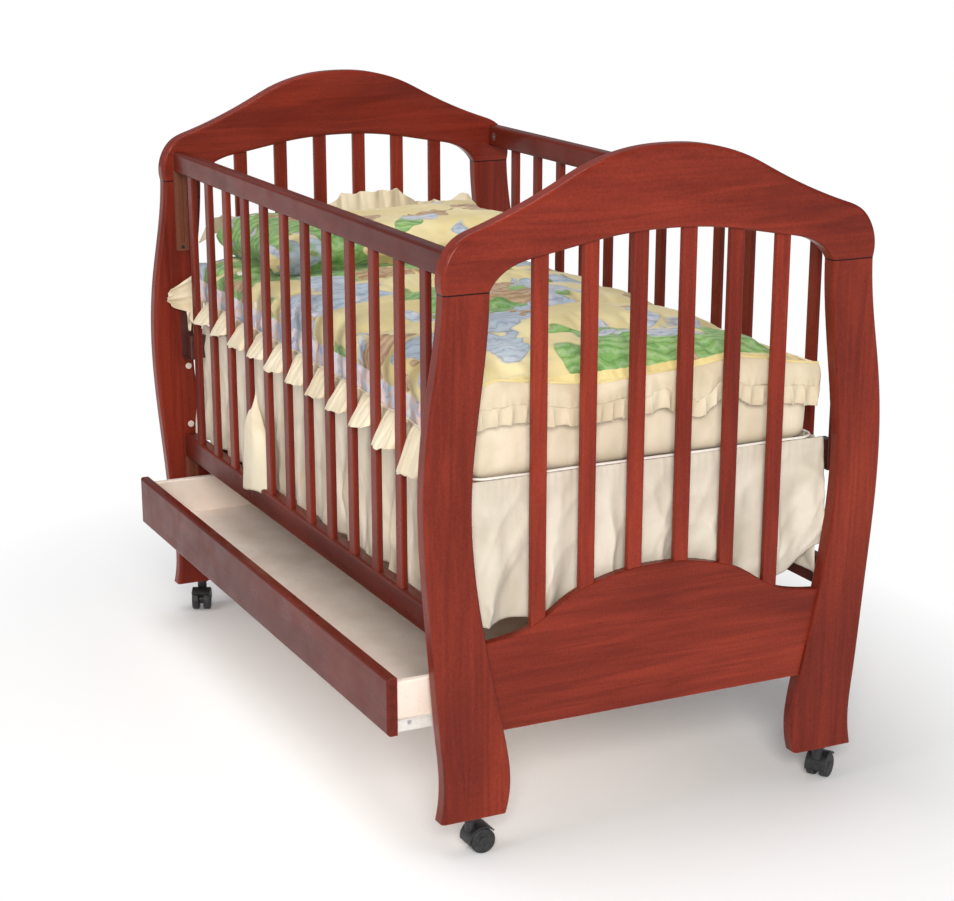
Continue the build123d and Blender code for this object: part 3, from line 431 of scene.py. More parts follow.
def satin(name, color, shade, seed=0.0):
    """Cream satin: soft sheen, fine threads, small creases."""
    f = Finish(name)
    tint = f.ramp(f.clouds(f.mapped(EVEN, (seed, 0, 0)), 11, 3, 0.5), [
        (0.32, tone(*shade)), (0.62, tone(*color))])
    creases = f.clouds(f.mapped((1, 1, 0.45), (seed, seed, 0)), 34, 3, 0.9)
    soft = f.bump(creases, 0.35, 0.004)
    threads = f.bump(f.weave(0.0011), 0.08, 0.0002, soft)
    return f.done(Base_Color=tint, Roughness=f.span(creases, 0.3, 0.7, 0.42, 0.58), Normal=threads,
                  Sheen_Weight=0.25, Sheen_Roughness=0.35, Specular_IOR_Level=0.45, Anisotropic=0.3)


# Printed patches: offset and scale of the noise, its value at their edge, two colours
NURSERY_PATCHES = (
    (9.2, 4.4, 0.545, (160, 180, 198), (186, 196, 208)),
    (6.3, 4.0, 0.525, (142, 184, 106), (104, 158, 82)),
    (4.4, 5.2, 0.580, (192, 160, 122), (168, 132, 96)),
    (11.3, 7.5, 0.625, (204, 206, 214), (170, 186, 206)),
)
BORDER_PATCHES = ((3.0, 30.0, 0.60, (150, 184, 222), (236, 190, 184)),)


def printed(name, use_cut, seed, border=False):
    """A generic nursery print: soft drawn patches of green, blue and sand on pale yellow."""
    f = Finish(name)
    cloth = f.node("ShaderNodeUVMap", 0, uv_map="cut") if use_cut else f.place
    place = f.mapped(EVEN, (seed, seed * 2, 0), cloth)
    if border:
        color = f.ramp(f.clouds(place, 26, 2, 0.4), [
            (0.34, tone(178, 196, 222)), (0.46, tone(222, 220, 226)), (0.56, tone(236, 206, 196)),
            (0.68, tone(206, 216, 230))])
    else:
        color = f.ramp(f.clouds(place, 9, 3), [(0.35, tone(218, 200, 142)), (0.65, tone(231, 217, 168))])
    for offset, scale, edge, inner, deeper in BORDER_PATCHES if border else NURSERY_PATCHES:
        spot = f.mapped(EVEN, (offset, offset * 1.7, offset * 0.3), place)
        shape = f.clouds(spot, scale, 3.2, 0.5)
        fill = f.mix(f.span(f.clouds(spot, scale * 5, 4, 1.6), 0.38, 0.64), tone(*inner), tone(*deeper))
        strokes = f.node("ShaderNodeTexWave", 1, {
            "Vector": spot, "Scale": 17.0, "Distortion": 9.0, "Detail": 3.0, "Detail Scale": 1.6})
        fill = f.mix(f.span(strokes, 0.60, 0.95, 0.0, 0.34), fill, tone(*[0.5 * v + 118 for v in inner]))
        fill = f.mix(f.span(strokes, 0.10, 0.03, 0.0, 0.42), fill, tone(*[0.62 * v for v in deeper]))
        inside = f.span(shape, edge, edge + 0.010)
        color = f.mix(inside, color, fill)
        away = f.sum("ABSOLUTE", f.sum("SUBTRACT", shape, edge + 0.010))
        line = f.span(away, 0.0040, 0.0, 0.0, 0.5)
        color = f.mix(line, color, tone(132, 104, 78))
    dots = f.node("ShaderNodeTexVoronoi", "Distance", {"Vector": place, "Scale": 15.0, "Randomness": 0.9})
    color = f.mix(f.span(dots, 0.105, 0.085), color, tone(244, 240, 228))
    color = f.mix(f.span(f.clouds(place, 40, 2), 0.3, 0.7, 0.0, 0.12), color, tone(150, 140, 110))
    creases = f.clouds(f.place, 30, 3, 0.7)
    soft = f.bump(creases, 0.3, 0.0035)
    threads = f.bump(f.weave(0.0009), 0.1, 0.0002, soft)
    return f.done(Base_Color=color, Roughness=0.72, Normal=threads, Sheen_Weight=0.15,
                  Sheen_Roughness=0.4, Specular_IOR_Level=0.3)


# The fourth numbers brighten or darken copies of one wood where its faces are lit or shaded: painted light
# and shade
wood_z = lacquered_wood("wood_upright", Z, 1.0, 0.97, ARCH_JOINT)
wood_y = lacquered_wood("wood_crosswise", Y, 4.0)
wood_x = lacquered_wood("wood_lengthwise", X, 7.0, 0.78)
gate_wood = lacquered_wood("wood_gate_slats", Z, 17.0, 0.92)
wood_arch = lacquered_wood("wood_arches", Y, 9.0, 1.0, ARCH_JOINT)
slat_wood = lacquered_wood("wood_slats", Z, 13.0, 1.04)
pale_x = bare_wood("pale_wood_lengthwise", X, 2.0)
pale_y = bare_wood("pale_wood_crosswise", Y, 5.0)
pale_board = board("drawer_board")
brown_plastic = moulded("brown_plastic", (104, 50, 30), 0.42)
painted_brown = moulded("painted_brown", (66, 26, 20), 0.4)
pale_plastic = moulded("pale_plastic", (196, 184, 172), 0.5, 0.2)
white_runner = moulded("white_runner", (214, 212, 206), 0.4, 0.2)
white_roller = moulded("white_roller", (226, 224, 216), 0.45, 0.15)
black_plastic = moulded("black_plastic", (15, 15, 17), 0.45, 0.3)
tread_black = moulded("black_tread", (20, 20, 22), 0.6, 0.4)
bright_steel = metal("bright_steel", (196, 196, 198), 0.28)
dull_zinc = metal("dull_zinc", (176, 178, 178), 0.4)
dark_steel = metal("dark_steel", (70, 66, 66), 0.42)
cream_satin = satin("cream_satin", (236, 222, 198), (216, 202, 176))
skirt_satin = satin("skirt_satin", (222, 213, 197), (202, 192, 174), 6.0)
# A brighter copy of the skirt's satin for the near panel, which hangs in the gate's shade: painted light
lit_near_satin = satin("lit_near_satin", (246, 234, 212), (228, 214, 190), 9.0)
ruffle_satin = satin("ruffle_satin", (224, 211, 184), (204, 188, 158), 12.0)
yellow_satin = satin("yellow_satin", (232, 214, 152), (216, 196, 132), 18.0)
white_satin = satin("white_satin", (246, 240, 232), (232, 224, 214), 21.0)
quilt_print = printed("quilt_print", True, 1.0)
border_print = printed("border_print", True, 3.0, border=True)
pillow_print = printed("pillow_print", False, 8.0)
thread_cream = moulded("cream_thread", (226, 206, 150), 0.8, 0.2)

# The first entry whose word is in a node's name gives the node its material
NODE_FINISHES = (
    ("caster_wheels", tread_black), ("caster_axle", dark_steel), ("caster", black_plastic),
    ("hole_caps", pale_plastic), ("rollers", white_roller), ("runners", white_runner),
    ("guide_screws", dark_steel), ("screws", bright_steel), ("cam_pins", bright_steel),
    ("cams", dull_zinc), ("guide", brown_plastic), ("dowels", pale_x),
    ("drawer_front", wood_x), ("drawer", pale_board),
    ("base_slats", pale_y), ("base_side_rails", pale_x), ("base", painted_brown),
    ("arch", wood_arch), ("apron", wood_y), ("rail", wood_x), ("leg", wood_z),
    ("gate_slats", gate_wood), ("far_slats", gate_wood), ("slats", slat_wood),
)
SOFT_NODES = ("mattress", "mattress_skirt", "quilt", "pillow")

for name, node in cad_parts.items():
    if name not in SOFT_NODES:
        node.data.materials.clear()
        node.data.materials.append(next(finish for word, finish in NODE_FINISHES if word in name))


# Mattress in its satin cover

def from_node(name, node, voxel, material, shrink):
    """A remeshed copy of a soft CAD solid, a little smaller than it."""
    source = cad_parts[node]
    made = bpy.data.objects.new(name, source.data.copy())
    scene.collection.objects.link(made)
    made.data.materials.clear()
    modified(made, "REMESH", mode="VOXEL", voxel_size=voxel, use_smooth_shade=True)
    settled(made)
    made.data.materials.clear()
    made.data.materials.append(material)
    reshaped(made, lambda place, normal: place - normal * shrink)
    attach(made, "frame")
    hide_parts(node)
    return made


mattress = from_node("mattress_cover", "mattress", 0.012, cream_satin, 0.0035)
swollen(mattress, 2.5, 0.01, lambda place: 0.004)
subdivided(mattress)


def slack_cover(place, normal):
    """Loose satin on the mattress's sides, drawn in along the seam."""
    x, y, z = place.x, place.y - MID, place.z
    side = smooth(max(abs(x) - HALF_LENGTH, abs(y) - HALF_WIDTH), -0.012, -0.006)
    run = y if abs(x) > 0.59 else x
    slack = 0.0020 * rough(run * 14, z * 9, 4.0) + 0.0012 * rough(run * 45, z * 14, 9.0)
    pucker = math.exp(-abs(z - SEAM) / 0.014) * 0.0013 * math.sin(run * 520 + 2.5 * rough(run * 60, 2.0))
    out = place + normal * side * (slack + pucker - 0.0008)
    out.z = min(out.z, QUILT_LOW - 0.0006)
    return out


reshaped(mattress, slack_cover)


def rounded_ring(half_x, half_y, corner, z, step=0.008, middle_x=0.0):
    """Points in the frame round a rectangle with round corners, near foot corner first."""
    line = []
    for way_x, way_y, start in ((1, -1, -90), (1, 1, 0), (-1, 1, 90), (-1, -1, 180)):
        for degrees in range(start, start + 91, 6):
            turn = math.radians(degrees)
            line.append(Vector((middle_x + way_x * (half_x - corner) + corner * math.cos(turn),
                                MID + way_y * (half_y - corner) + corner * math.sin(turn), z)))
    line.append(line[0].copy())
    count = max(int(2 * (2 * half_x + 2 * half_y) / step), 12)
    return resampled(line, count)[:-1]


for label, height, satin_piping in (("mattress_piping_low", SEAM + 0.001, white_satin),
                                    ("mattress_piping_high", 0.6800, cream_satin)):
    ring = rounded_ring(tenths(HALF_LENGTH + 0.0008), tenths(HALF_WIDTH + 0.0008), 0.028, height)
    for index, place in enumerate(ring):
        place.z += 0.0012 * rough(index * 0.11, height * 50)
    tube(label, ring, satin_piping, closed=True)


# Skirt: four gathered panels that hang from the seam

# Half length of a panel, and how far from the middle it hangs
SIDE_PANEL = (tenths(HALF_LENGTH - 0.003), tenths(HALF_WIDTH + 0.0008))
END_PANEL = (tenths(HALF_WIDTH + 0.014), tenths(HALF_LENGTH + 0.001))
FOLD, SMALL_FOLD, GATHER = 0.098, 0.037, 0.0125  # steps of the folds and of the stitched gathers
PANEL_STEP = 0.0055  # step of a panel's points along the seam


def skirt_panel(name, size, out, room, lift=lambda run: 0.0, top=SEAM - 0.001, finish=skirt_satin):
    """out is the way the panel faces. Folds deepen towards the hem, and inwards below the base."""
    half, stand = size
    along = Vector((out.y, -out.x, 0)) if out.x else Vector((1, 0, 0))
    columns, rows = int(2 * half / PANEL_STEP), 34
    points, uvs = [], []
    seed = 3.1 * out.x + 7.3 * out.y
    for r in range(rows + 1):
        down = r / rows
        for c in range(columns + 1):
            run = lerp(-half, half, c / columns)
            warp = run + 0.016 * rough(run * 9, seed) + 0.034 * down * rough(run * 6.5, down * 1.6, seed)
            big = math.sin(warp * 2 * math.pi / FOLD + seed)
            small = math.sin(warp * 2 * math.pi / SMALL_FOLD + 1.3 + 2 * rough(run * 8, seed + 5))
            gather = math.sin(run * 2 * math.pi / GATHER + 3 * rough(run * 25, seed))
            crease = 1 - abs(rough(run * 13 + 0.5 * down, down * 2.2, seed + 4))
            fan = 1 - abs(rough(run * 19 - 2.2 * down, down * 1.2, seed + 11))
            sharp = big * (0.72 + 0.28 * big * big)
            depth = lerp(0.0008, room, smooth(down, 0.02, 0.75))
            deeper = 0.006 * smooth(down, 0.3, 0.7)
            offset = 0.0012 + depth * (0.5 + 0.38 * sharp + 0.12 * small) - deeper * (0.5 - 0.5 * sharp)
            offset += gather * 0.0017 * math.exp(-down / 0.09)
            offset += 0.0046 * (crease ** 7 - 0.3) * smooth(down, 0.02, 0.3)
            offset += 0.0040 * (fan ** 9 - 0.2) * smooth(down, 0.0, 0.15)
            offset += 0.0015 * down * rough(run * 22, down * 6, seed)
            sway = 0.010 * down * math.cos(warp * 2 * math.pi / FOLD + seed)
            hem = SKIRT_HEM + 0.006 * rough(run * 6, seed + 2) - 0.004 * sharp + lift(run)
            z = lerp(top, hem, down)
            place = along * (run + sway) + out * (stand + offset)
            points.append((place.x, place.y + MID, z))
            uvs.append((run, z))
    made = piece(name, points, grid_faces(rows + 1, columns + 1), [finish], uvs=uvs)
    subdivided(made)
    return made


panels = [
    skirt_panel("skirt_near", SIDE_PANEL, Vector((0, -1, 0)), 0.0135, top=SEAM + 0.012, finish=lit_near_satin),
    skirt_panel("skirt_far", SIDE_PANEL, Vector((0, 1, 0)), 0.0135),
    skirt_panel("skirt_head", END_PANEL, Vector((-1, 0, 0)), 0.0150),
    skirt_panel("skirt_foot", END_PANEL, Vector((1, 0, 0)), 0.0150,
                lambda run: 0.046 * smooth(-run, 0.255, 0.305)),
]
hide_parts("mattress_skirt")


def patch(name, rows_down, columns, at):
    """A small loose piece of the satin. at(t, s) gives a place from its first edge to its last."""
    points = []
    for r in range(rows_down + 1):
        for c in range(columns + 1):
            points.append(in_frame(at(r / rows_down, c / columns)))
    made = piece(name, points, grid_faces(rows_down + 1, columns + 1), [ruffle_satin])
    subdivided(made)
    cloth_sheet(made)


def pulled_fold(t, s):
    """The skirt's cloth pulled out beside a slat of the gate and folded over its front."""
    left = lerp(-0.2290, -0.2680, t ** 0.8)
    right = lerp(-0.2265, -0.1500, smooth(t, 0.0, 0.75))
    bend, cloth_y, steps = SLAT_FRONT + 0.0025, -0.3310, 30
    line = [Vector((-0.2235, -0.3165, 0)), Vector((-0.2245, -bend - 0.001, 0)),
            Vector((left + 0.003, -bend, 0)), Vector((left, -bend - 0.0015, 0)),
            Vector((left + 0.003, -bend - 0.0040, 0)), Vector((-0.2265 + 0.001 * t, -bend - 0.0055, 0)),
            Vector((lerp(-0.2262, right, 0.5), -bend - 0.0030, 0)), Vector((right, -0.3270, 0))]
    place = resampled(line, steps)[round(s * steps)]
    place.y = cloth_y + (place.y - cloth_y) * smooth(t, 0.0, 0.4)
    hem = 0.350 + 0.005 * math.sin(s * 9 + 1) + 0.006 * s
    place.z = lerp(0.538, hem, t)
    place.y -= 0.0016 * t * (1 + math.sin(place.x * 190 + t * 3)) * smooth(s, 0.45, 0.6)
    return place


patch("skirt_fold", 24, 30, pulled_fold)
for panel in panels:
    cloth_sheet(panel)


# Quilt: a padded sheet with sewn channels across it, whose near side hangs down inside the gate

CHANNEL_STEP = 0.2
CHANNELS = [HEAD + CHANNEL_STEP * index for index in range(7)]
ACROSS, ALONG = 74, 132  # faces from the far edge to the flap's, and from head to foot
BORDER, EDGING = 4, 3  # faces of the flap's border, and of the yellow edging
QUILT_HALF = tenths(-HEAD - 0.0015)
QUILT_SPREAD = 0.293  # half the width of its padded top
FOOT_START, FOOT_END = 0.555, 0.597  # where the top sinks to the edge at the foot
FLAP_MOST = 0.3215  # the flap stays inside the gate
FLAP_TURN, FLAP_ROUND = 0.2925, 0.024  # where it turns down, and the radius of the turn
CROWN = [(-0.21, 0.716), (-0.06, 0.741), (0.40, 0.741), (0.60, 0.729)]
FLAP_SINK = [(-0.6, 0.003), (0.0, 0.0), (0.3, -0.006), (0.6, -0.020)]


def flap_edge(x):
    """The hanging side's lower edge sinks towards the foot."""
    return FLAP_EDGE + 0.004 * rough(x * 11, 8.0) + through(FLAP_SINK, x)


def quilt_section(x):
    """The quilt's upper face from its far edge over the crown and down the flap."""
    top = through(CROWN, x)
    far_z = 0.6905 + 0.004 * rough(x * 9, 4.0)
    line = [Vector((x, 0.2990, far_z)), Vector((x, 0.2970, far_z + 0.006))]
    shoulder = (top + QUILT_LOW + 0.012) / 2
    for step in range(1, 30):
        y = lerp(QUILT_SPREAD, -0.2900, step / 30)
        share = y / QUILT_SPREAD
        edge = lerp(far_z + 0.009, shoulder, (1 - share) / 2)
        line.append(Vector((x, y, edge + (top - (far_z + shoulder) / 2 - 0.004) * (1 - abs(share) ** 2.3))))
    for degrees in range(10, 91, 10):
        turn = math.radians(degrees)
        line.append(Vector((x, -FLAP_TURN - FLAP_ROUND * math.sin(turn),
                            shoulder - FLAP_ROUND * (1 - math.cos(turn)))))
    line.append(Vector((x, -FLAP_TURN - FLAP_ROUND, flap_edge(x))))
    return resampled(line, ACROSS)


FOOT_EDGE = [(-0.30, 0.712), (-0.26, 0.722), (-0.16, 0.708), (-0.096, 0.700), (-0.008, 0.706),
             (0.079, 0.711), (0.149, 0.718), (0.207, 0.709), (0.24, 0.701), (0.30, 0.692)]
rows = [quilt_section(lerp(-QUILT_HALF, QUILT_HALF, r / ALONG)) for r in range(ALONG + 1)]
for row in rows:
    for place in row:
        if place.x > FOOT_START and place.y > -0.295:
            edge = through(FOOT_EDGE, place.y) - 0.001
            place.z = lerp(place.z, min(edge, place.z), smooth(place.x, FOOT_START, FOOT_END))


def on_flap(y):
    """0 on the quilt's top, 1 on its hanging part, and a soft step between."""
    return smooth(-y, 0.27, 0.31)


def to_channel(x):
    return min(abs(x - channel) for channel in CHANNELS)


points, held = [], {}
for r, row in enumerate(rows):
    for c, place in enumerate(row):
        away = to_channel(place.x)
        sewn = c in (EDGING, ACROSS - BORDER) or r == ALONG - BORDER
        if away < 0.0052 or sewn or c in (0, ACROSS) or r in (0, ALONG):
            held[len(points)] = 1.0
        dip = math.exp(-(away / 0.030) ** 2)
        lowered = place.copy()
        flap = on_flap(place.y)
        low = (1 - flap) * (1 - smooth(place.x, 0.58, 0.598))
        lowered.z -= (0.0095 * dip + 0.005) * low
        lowered.y += (0.0022 * dip + 0.001) * flap
        if sewn:
            lowered.z -= 0.004 * low
            lowered.y += 0.003 * flap
        points.append(in_frame(lowered))

columns = ACROSS + 1
indices = [2 if r >= ALONG - EDGING or c < EDGING else 1 if c >= ACROSS - BORDER else 0
           for r in range(ALONG) for c in range(ACROSS)]
uvs = [(row[0].x, 0.0095 * c) for row in rows for c in range(columns)]
quilt = piece("quilt_cover", points, grid_faces(ALONG + 1, columns),
              [quilt_print, border_print, yellow_satin], indices=indices, uvs=uvs)


def quilt_cap(place):
    return 0.0035 if place.y - MID < -0.30 else 0.013


swollen(quilt, 5.0, 0.045, quilt_cap, held)
subdivided(quilt)


def creased(place, normal):
    """Puckers along the channels, and loose cloth between them."""
    x, y, z = place.x, place.y - MID, place.z
    flap = on_flap(y)
    run = y - (z if flap > 0.5 else 0.0)
    pull = math.exp(-to_channel(x) / 0.012) * 0.0011 * math.sin(run * 430 + 3 * rough(run * 20, x * 4))
    pull += 0.0010 * flap * math.sin(x * 300 + 4 * rough(x * 30, 2.0)) * smooth(-z, -0.70, -0.645)
    loose = 0.0022 * rough(x * 17, y * 17, 3.0) + 0.0010 * rough(x * 48, y * 48, 6.0)
    out = place + normal * (pull + loose * (1 - 0.6 * flap))
    gather = smooth(x, 0.560, 0.590) * (1 - flap)
    out.z += 0.0013 * gather * math.sin(y * 450 + 3 * rough(y * 30, 6.0))
    out.y = max(out.y, MID - FLAP_MOST)
    out.x = min(max(out.x, -0.600), 0.6003)
    if flap < 0.2:
        out.z = max(out.z, QUILT_LOW + 0.0012)
    return out


reshaped(quilt, creased)

# The lining closes it from below
LINING = QUILT_LOW + 0.0004
LINING_BEND, BEHIND_FLAP = 0.6975, -0.3055  # height where it turns down, and its y below that
lining = []
for row in rows:
    for place in row:
        x = place.x * 0.9985
        if place.y >= -FLAP_TURN:
            lining.append(in_frame(Vector((x, min(place.y, 0.2975), LINING))))
        elif place.z > LINING_BEND:
            lining.append(in_frame(Vector((x, BEHIND_FLAP, LINING + (place.z - LINING_BEND) * 0.02))))
        else:
            lining.append(in_frame(Vector((x, BEHIND_FLAP, max(place.z - 0.012, flap_edge(place.x))))))
piece("quilt_lining", lining, grid_faces(ALONG + 1, columns, flip=True), [ruffle_satin])
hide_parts("quilt")


# Gathered ruffles of the quilt

def frill(name, seam, profile, folds, depth, out, width, sway, seed):
    """A gathered strip. seam holds its sewn edge, profile(t, i) gives the way from the seam at a share
    t of its width, out(i) the way that its folds stand."""
    rows_down = 9
    points, uvs, runs = [], [], running(seam)
    for r in range(rows_down + 1):
        t = r / rows_down
        for i, start in enumerate(seam):
            s = runs[i]
            way = seam[min(i + 1, len(seam) - 1)] - seam[max(i - 1, 0)]
            way.normalize()
            warp = s + 0.012 * rough(s * 13, seed) + 0.006 * t * rough(s * 30, seed + 3)
            phase = warp * 2 * math.pi / folds
            wave = math.sin(phase + 1.2 * rough(s * 21, seed + 6)) + 0.45 * math.sin(phase * 2.17 + 1.1)
            lift = depth * (0.12 + 0.88 * t ** 0.8) * wave
            size = 1 + 0.55 * rough(s * 11, seed + 9)
            place = start + profile(t, i) * (1 + 0.13 * t * rough(s * 15, seed + 1))
            place = place + out(i) * (lift * size) + way * (sway * depth * t * math.cos(phase))
            points.append(in_frame(place))
            uvs.append((s, t * width))
    made = piece(name, points, grid_faces(rows_down + 1, len(seam)), [ruffle_satin], uvs=uvs)
    subdivided(made)
    cloth_sheet(made)


def stepped(points, step, least):
    """The same line with points about a step apart."""
    return resampled(points, max(int(running(points)[-1] / step), least))


FINE = 0.0045  # step of the seams that the ruffles are gathered along
foot_line = [lerp(0.297, -0.300, index / 60) for index in range(61)]
foot_seam = stepped([Vector((QUILT_HALF, y, through(FOOT_EDGE, y))) for y in foot_line], FINE, 8)


FRILL_HEM = [(-0.330, 0.650), (-0.292, 0.654), (-0.211, 0.653), (-0.161, 0.643), (-0.094, 0.640),
             (0.017, 0.651), (0.079, 0.628), (0.122, 0.658), (0.167, 0.642), (0.259, 0.633), (0.308, 0.626)]


def roll_low(y):
    return through(FRILL_HEM, y) + 0.028 + 0.004 * rough(y * 23, 12.0)


def roll_fall(t, i):
    """The satin edge of the quilt rolls out and down to where its frill is gathered."""
    y = foot_seam[i].y
    down = foot_seam[i].z - roll_low(y)
    bulge = 0.0052 + 0.0030 * rough(y * 17, t * 2.0, 14.0)
    pucker = 0.0012 * math.sin(y * 520 + 5 * rough(y * 25, 9.0)) * smooth(t, 0.55, 1.0)
    return Vector((0.0080 * t + bulge * math.sin(math.pi * t ** 0.75) + pucker, 0.0, -down * t))


frill("foot_roll", foot_seam, roll_fall, 0.060, 0.0014, lambda i: Vector((1, 0, 0)), 0.042, 0.8, 2.0)
frill_seam = [Vector((0.6068, p.y, roll_low(p.y) + 0.002)) for p in foot_seam]


def frill_fall(t, i):
    y = frill_seam[i].y
    wave = 0.0045 * rough(y * 30, 31.0) + 0.003 * rough(y * 75, 3.0)
    flare = 0.0035 * smooth(rough(y * 14, 21.0), -0.1, 0.5)
    return Vector((flare * t + 0.0010 * math.sin(math.pi * t), 0.0, -(0.030 + wave) * t))


frill("foot_frill", frill_seam, frill_fall, 0.024, 0.0044, lambda i: Vector((1, 0, 0)), 0.038, 1.5, 4.0)

far_seam = stepped([Vector((lerp(0.597, -0.597, i / 60), 0.2995, 0.6905 + 0.003 * rough(i * 0.3, 7.0)))
                    for i in range(61)], FINE, 8)
frill("far_ruffle", far_seam, lambda t, i: Vector((0, 0.006 * smooth(t, 0, 0.4), -0.052 * t)),
      0.050, 0.0045, lambda i: Vector((0, 1, 0)), 0.058, 1.6, 5.0)


# The near ruffle pokes out between the gate's slats, one tab in each gap

TAB_BACK = 0.3195  # where the ruffle runs behind the slats
TAB_HEMS = [(-0.5, 0.012), (0.0, 0.0), (0.285, -0.008), (0.38, -0.020), (0.475, -0.040)]


def tab_line(share, left, right, reach):
    """One tab seen from above, from slat to slat. Each place is (x from the gap's middle, y outwards)."""
    back, front = TAB_BACK, lerp(TAB_BACK, SLAT_FRONT + 0.0035 + reach, share ** 0.8)
    flare_left, flare_right = lerp(0.036, left, share), lerp(0.035, right, share)
    near = lerp(TAB_BACK, SLAT_FRONT + 0.0022, share ** 0.8)
    half = GAP_STEP / 2
    return [
        (-half, back), (-0.0400, back - 0.0005), (-0.0352, lerp(back, 0.3240, share)),
        (-0.0340, lerp(back, 0.3310, share)), (-flare_left * 0.98, near + 0.0018 * share),
        (-flare_left, lerp(near, front, 0.5)), (-flare_left * 0.86, front - 0.002 * share),
        (-0.012, front + 0.0045 * share), (0.006, front), (flare_right * 0.8, front + 0.002 * share),
        (flare_right, lerp(near, front, 0.5)), (0.0338, lerp(back, 0.3325, share)),
        (0.0352, lerp(back, 0.3250, share)), (0.0400, back - 0.0005), (half, back),
    ]


def near_ruffle():
    gaps = [GAP_STEP * (index - GAPS // 2) for index in range(GAPS)]
    rows_down, per_gap = 12, 40
    points, uvs = [], []
    for r in range(rows_down + 1):
        t = r / rows_down
        for number, middle in enumerate(gaps):
            left = 0.045 + 0.009 * rough(number * 1.7, 1.0)
            right = 0.033 + 0.004 * rough(number * 2.3, 5.0)
            reach = 0.005 + 0.006 * rough(number * 3.1, 9.0)
            tilt = 0.008 + 0.010 * rough(number * 1.3, 14.0)
            line = resampled([Vector((x, -y, 0)) for x, y in tab_line(t, left, right, reach)], per_gap)
            hem = TABS_HEM + through(TAB_HEMS, middle)
            for step, place in enumerate(line[:-1] if number < GAPS - 1 else line):
                x = middle + place.x
                side = (step / per_gap - 0.5) * 2
                drop = hem + tilt * side + 0.006 * rough(x * 55, 2.0) + 0.007 * smooth(abs(side), 0.7, 1.0)
                drop += 0.006 * rough(number * 2.9, 3.0)
                z = lerp(flap_edge(x) + 0.002, drop, t ** 1.1)
                ripple = 0.0016 * math.sin(x * 330 + 5 * rough(x * 45, t * 1.5, 1.0)) * (1 - 0.2 * t)
                points.append((x, place.y - ripple + MID, z))
                uvs.append((x, z))
    faces = grid_faces(rows_down + 1, GAPS * per_gap + 1)
    made = piece("near_ruffle", points, faces, [ruffle_satin], uvs=uvs)
    subdivided(made)
    cloth_sheet(made)


near_ruffle()


# Loose ends of the ruffle at the head leg

def corner_tab(t, s):
    """The corner that sticks out past the leg."""
    out = 0.3185 + 0.0515 * t * (1 - 0.22 * (2 * s - 1) ** 2)
    z = lerp(lerp(0.680, 0.606, s), lerp(0.658, 0.621, s), t) + 0.004 * t * rough(s * 4, 7.0)
    out += 0.005 * t * rough(s * 7, 3.0)
    x = -0.5955 + (0.0050 * math.sin(s * 13 + 2 * t) + 0.0022 * math.sin(s * 29 - 3 * t)) * (0.4 + 0.6 * t)
    return Vector((x, -out, z))


def corner_tail(t, s):
    """A thin tail that hangs from it."""
    half = lerp(0.0075, 0.0010, t)
    x = -0.594 + 0.003 * math.sin(t * 5 + s * 3)
    return Vector((x, lerp(-0.327 - half, -0.327 + half, s) - 0.002 * t, lerp(0.612, 0.573, t)))


def head_tab(t, s):
    """The ruffle's tab between the head leg and the first slat."""
    x = lerp(-0.5975, -0.5290 - 0.006 * t, s)
    bulge = 0.010 * t * math.sin(math.pi * s) + 0.0016 * t * math.sin(s * 19)
    hem = 0.6000 + 0.010 * math.sin(s * 5 + 1)
    return Vector((x, -(0.3205 + bulge + 0.004 * t), lerp(flap_edge(x) + 0.002, hem, t)))


patch("corner_ruffle", 12, 20, corner_tab)
patch("head_tab", 12, 18, head_tab)
patch("corner_tail", 8, 6, corner_tail)

# Pipings of the quilt
flap_line = [row[-1] + Vector((0, -0.001, 0.001)) for row in rows]
tube("flap_piping", [in_frame(p) for p in stepped(flap_line, 0.008, 8)], cream_satin)
tube("foot_piping", [in_frame(p) + Vector((0.0002, 0, 0)) for p in foot_seam[::2]], yellow_satin)


# Stitches along the channels

def stitches(name, lines, material):
    """Short thread loops along each line, four-sided and thinner at their ends."""
    points, faces = [], []
    for line in lines:
        steps = stepped(line, 0.0065, 4)
        for a, b in zip(steps, steps[1:]):
            way = (b - a).normalized()
            side = way.orthogonal().normalized()
            up = way.cross(side)
            first = len(points)
            for share, thick in ((0.12, 0.0003), (0.3, 0.00055), (0.7, 0.00055), (0.88, 0.0003)):
                middle = a.lerp(b, share)
                for turn in range(4):
                    angle = math.pi / 2 * turn
                    place = middle + (side * math.cos(angle) + up * math.sin(angle)) * thick
                    points.append(in_frame(place))
            faces += grid_faces(4, 4, first, closed=True)
            faces += [(first + 3, first + 2, first + 1, first), tuple(first + 12 + k for k in range(4))]
    piece(name, points, faces, [material])


def surface_points(wanted):
    """Drops each wanted place onto the finished quilt."""
    found = []
    graph = bpy.context.evaluated_depsgraph_get()
    shape = quilt.evaluated_get(graph)
    for place, way in wanted:
        hit, at, _, _ = shape.ray_cast(in_frame(place) - way * 0.03, way)
        if hit:
            found.append(Vector((at.x, at.y - MID, at.z)) - way * 0.0003)
    return found


seam_lines = []
for channel in CHANNELS[1:-1]:
    row = rows[round((channel + QUILT_HALF) / (2 * QUILT_HALF) * ALONG)]
    wanted = []
    for place in row[2:ACROSS - 1]:
        way = Vector((0, 1, 0)) if place.y < -0.312 else Vector((0, 0, -1))
        wanted.append((Vector((channel, place.y, place.z)), way))
    seam_lines.append(surface_points(wanted))
stitches("quilt_stitches", seam_lines, thread_cream)


# Pillow with its ruffle

pillow = from_node("pillow_cover", "pillow", 0.0065, pillow_print, 0.005)
swollen(pillow, 5.0, 0.04, lambda place: 0.0095)
subdivided(pillow)


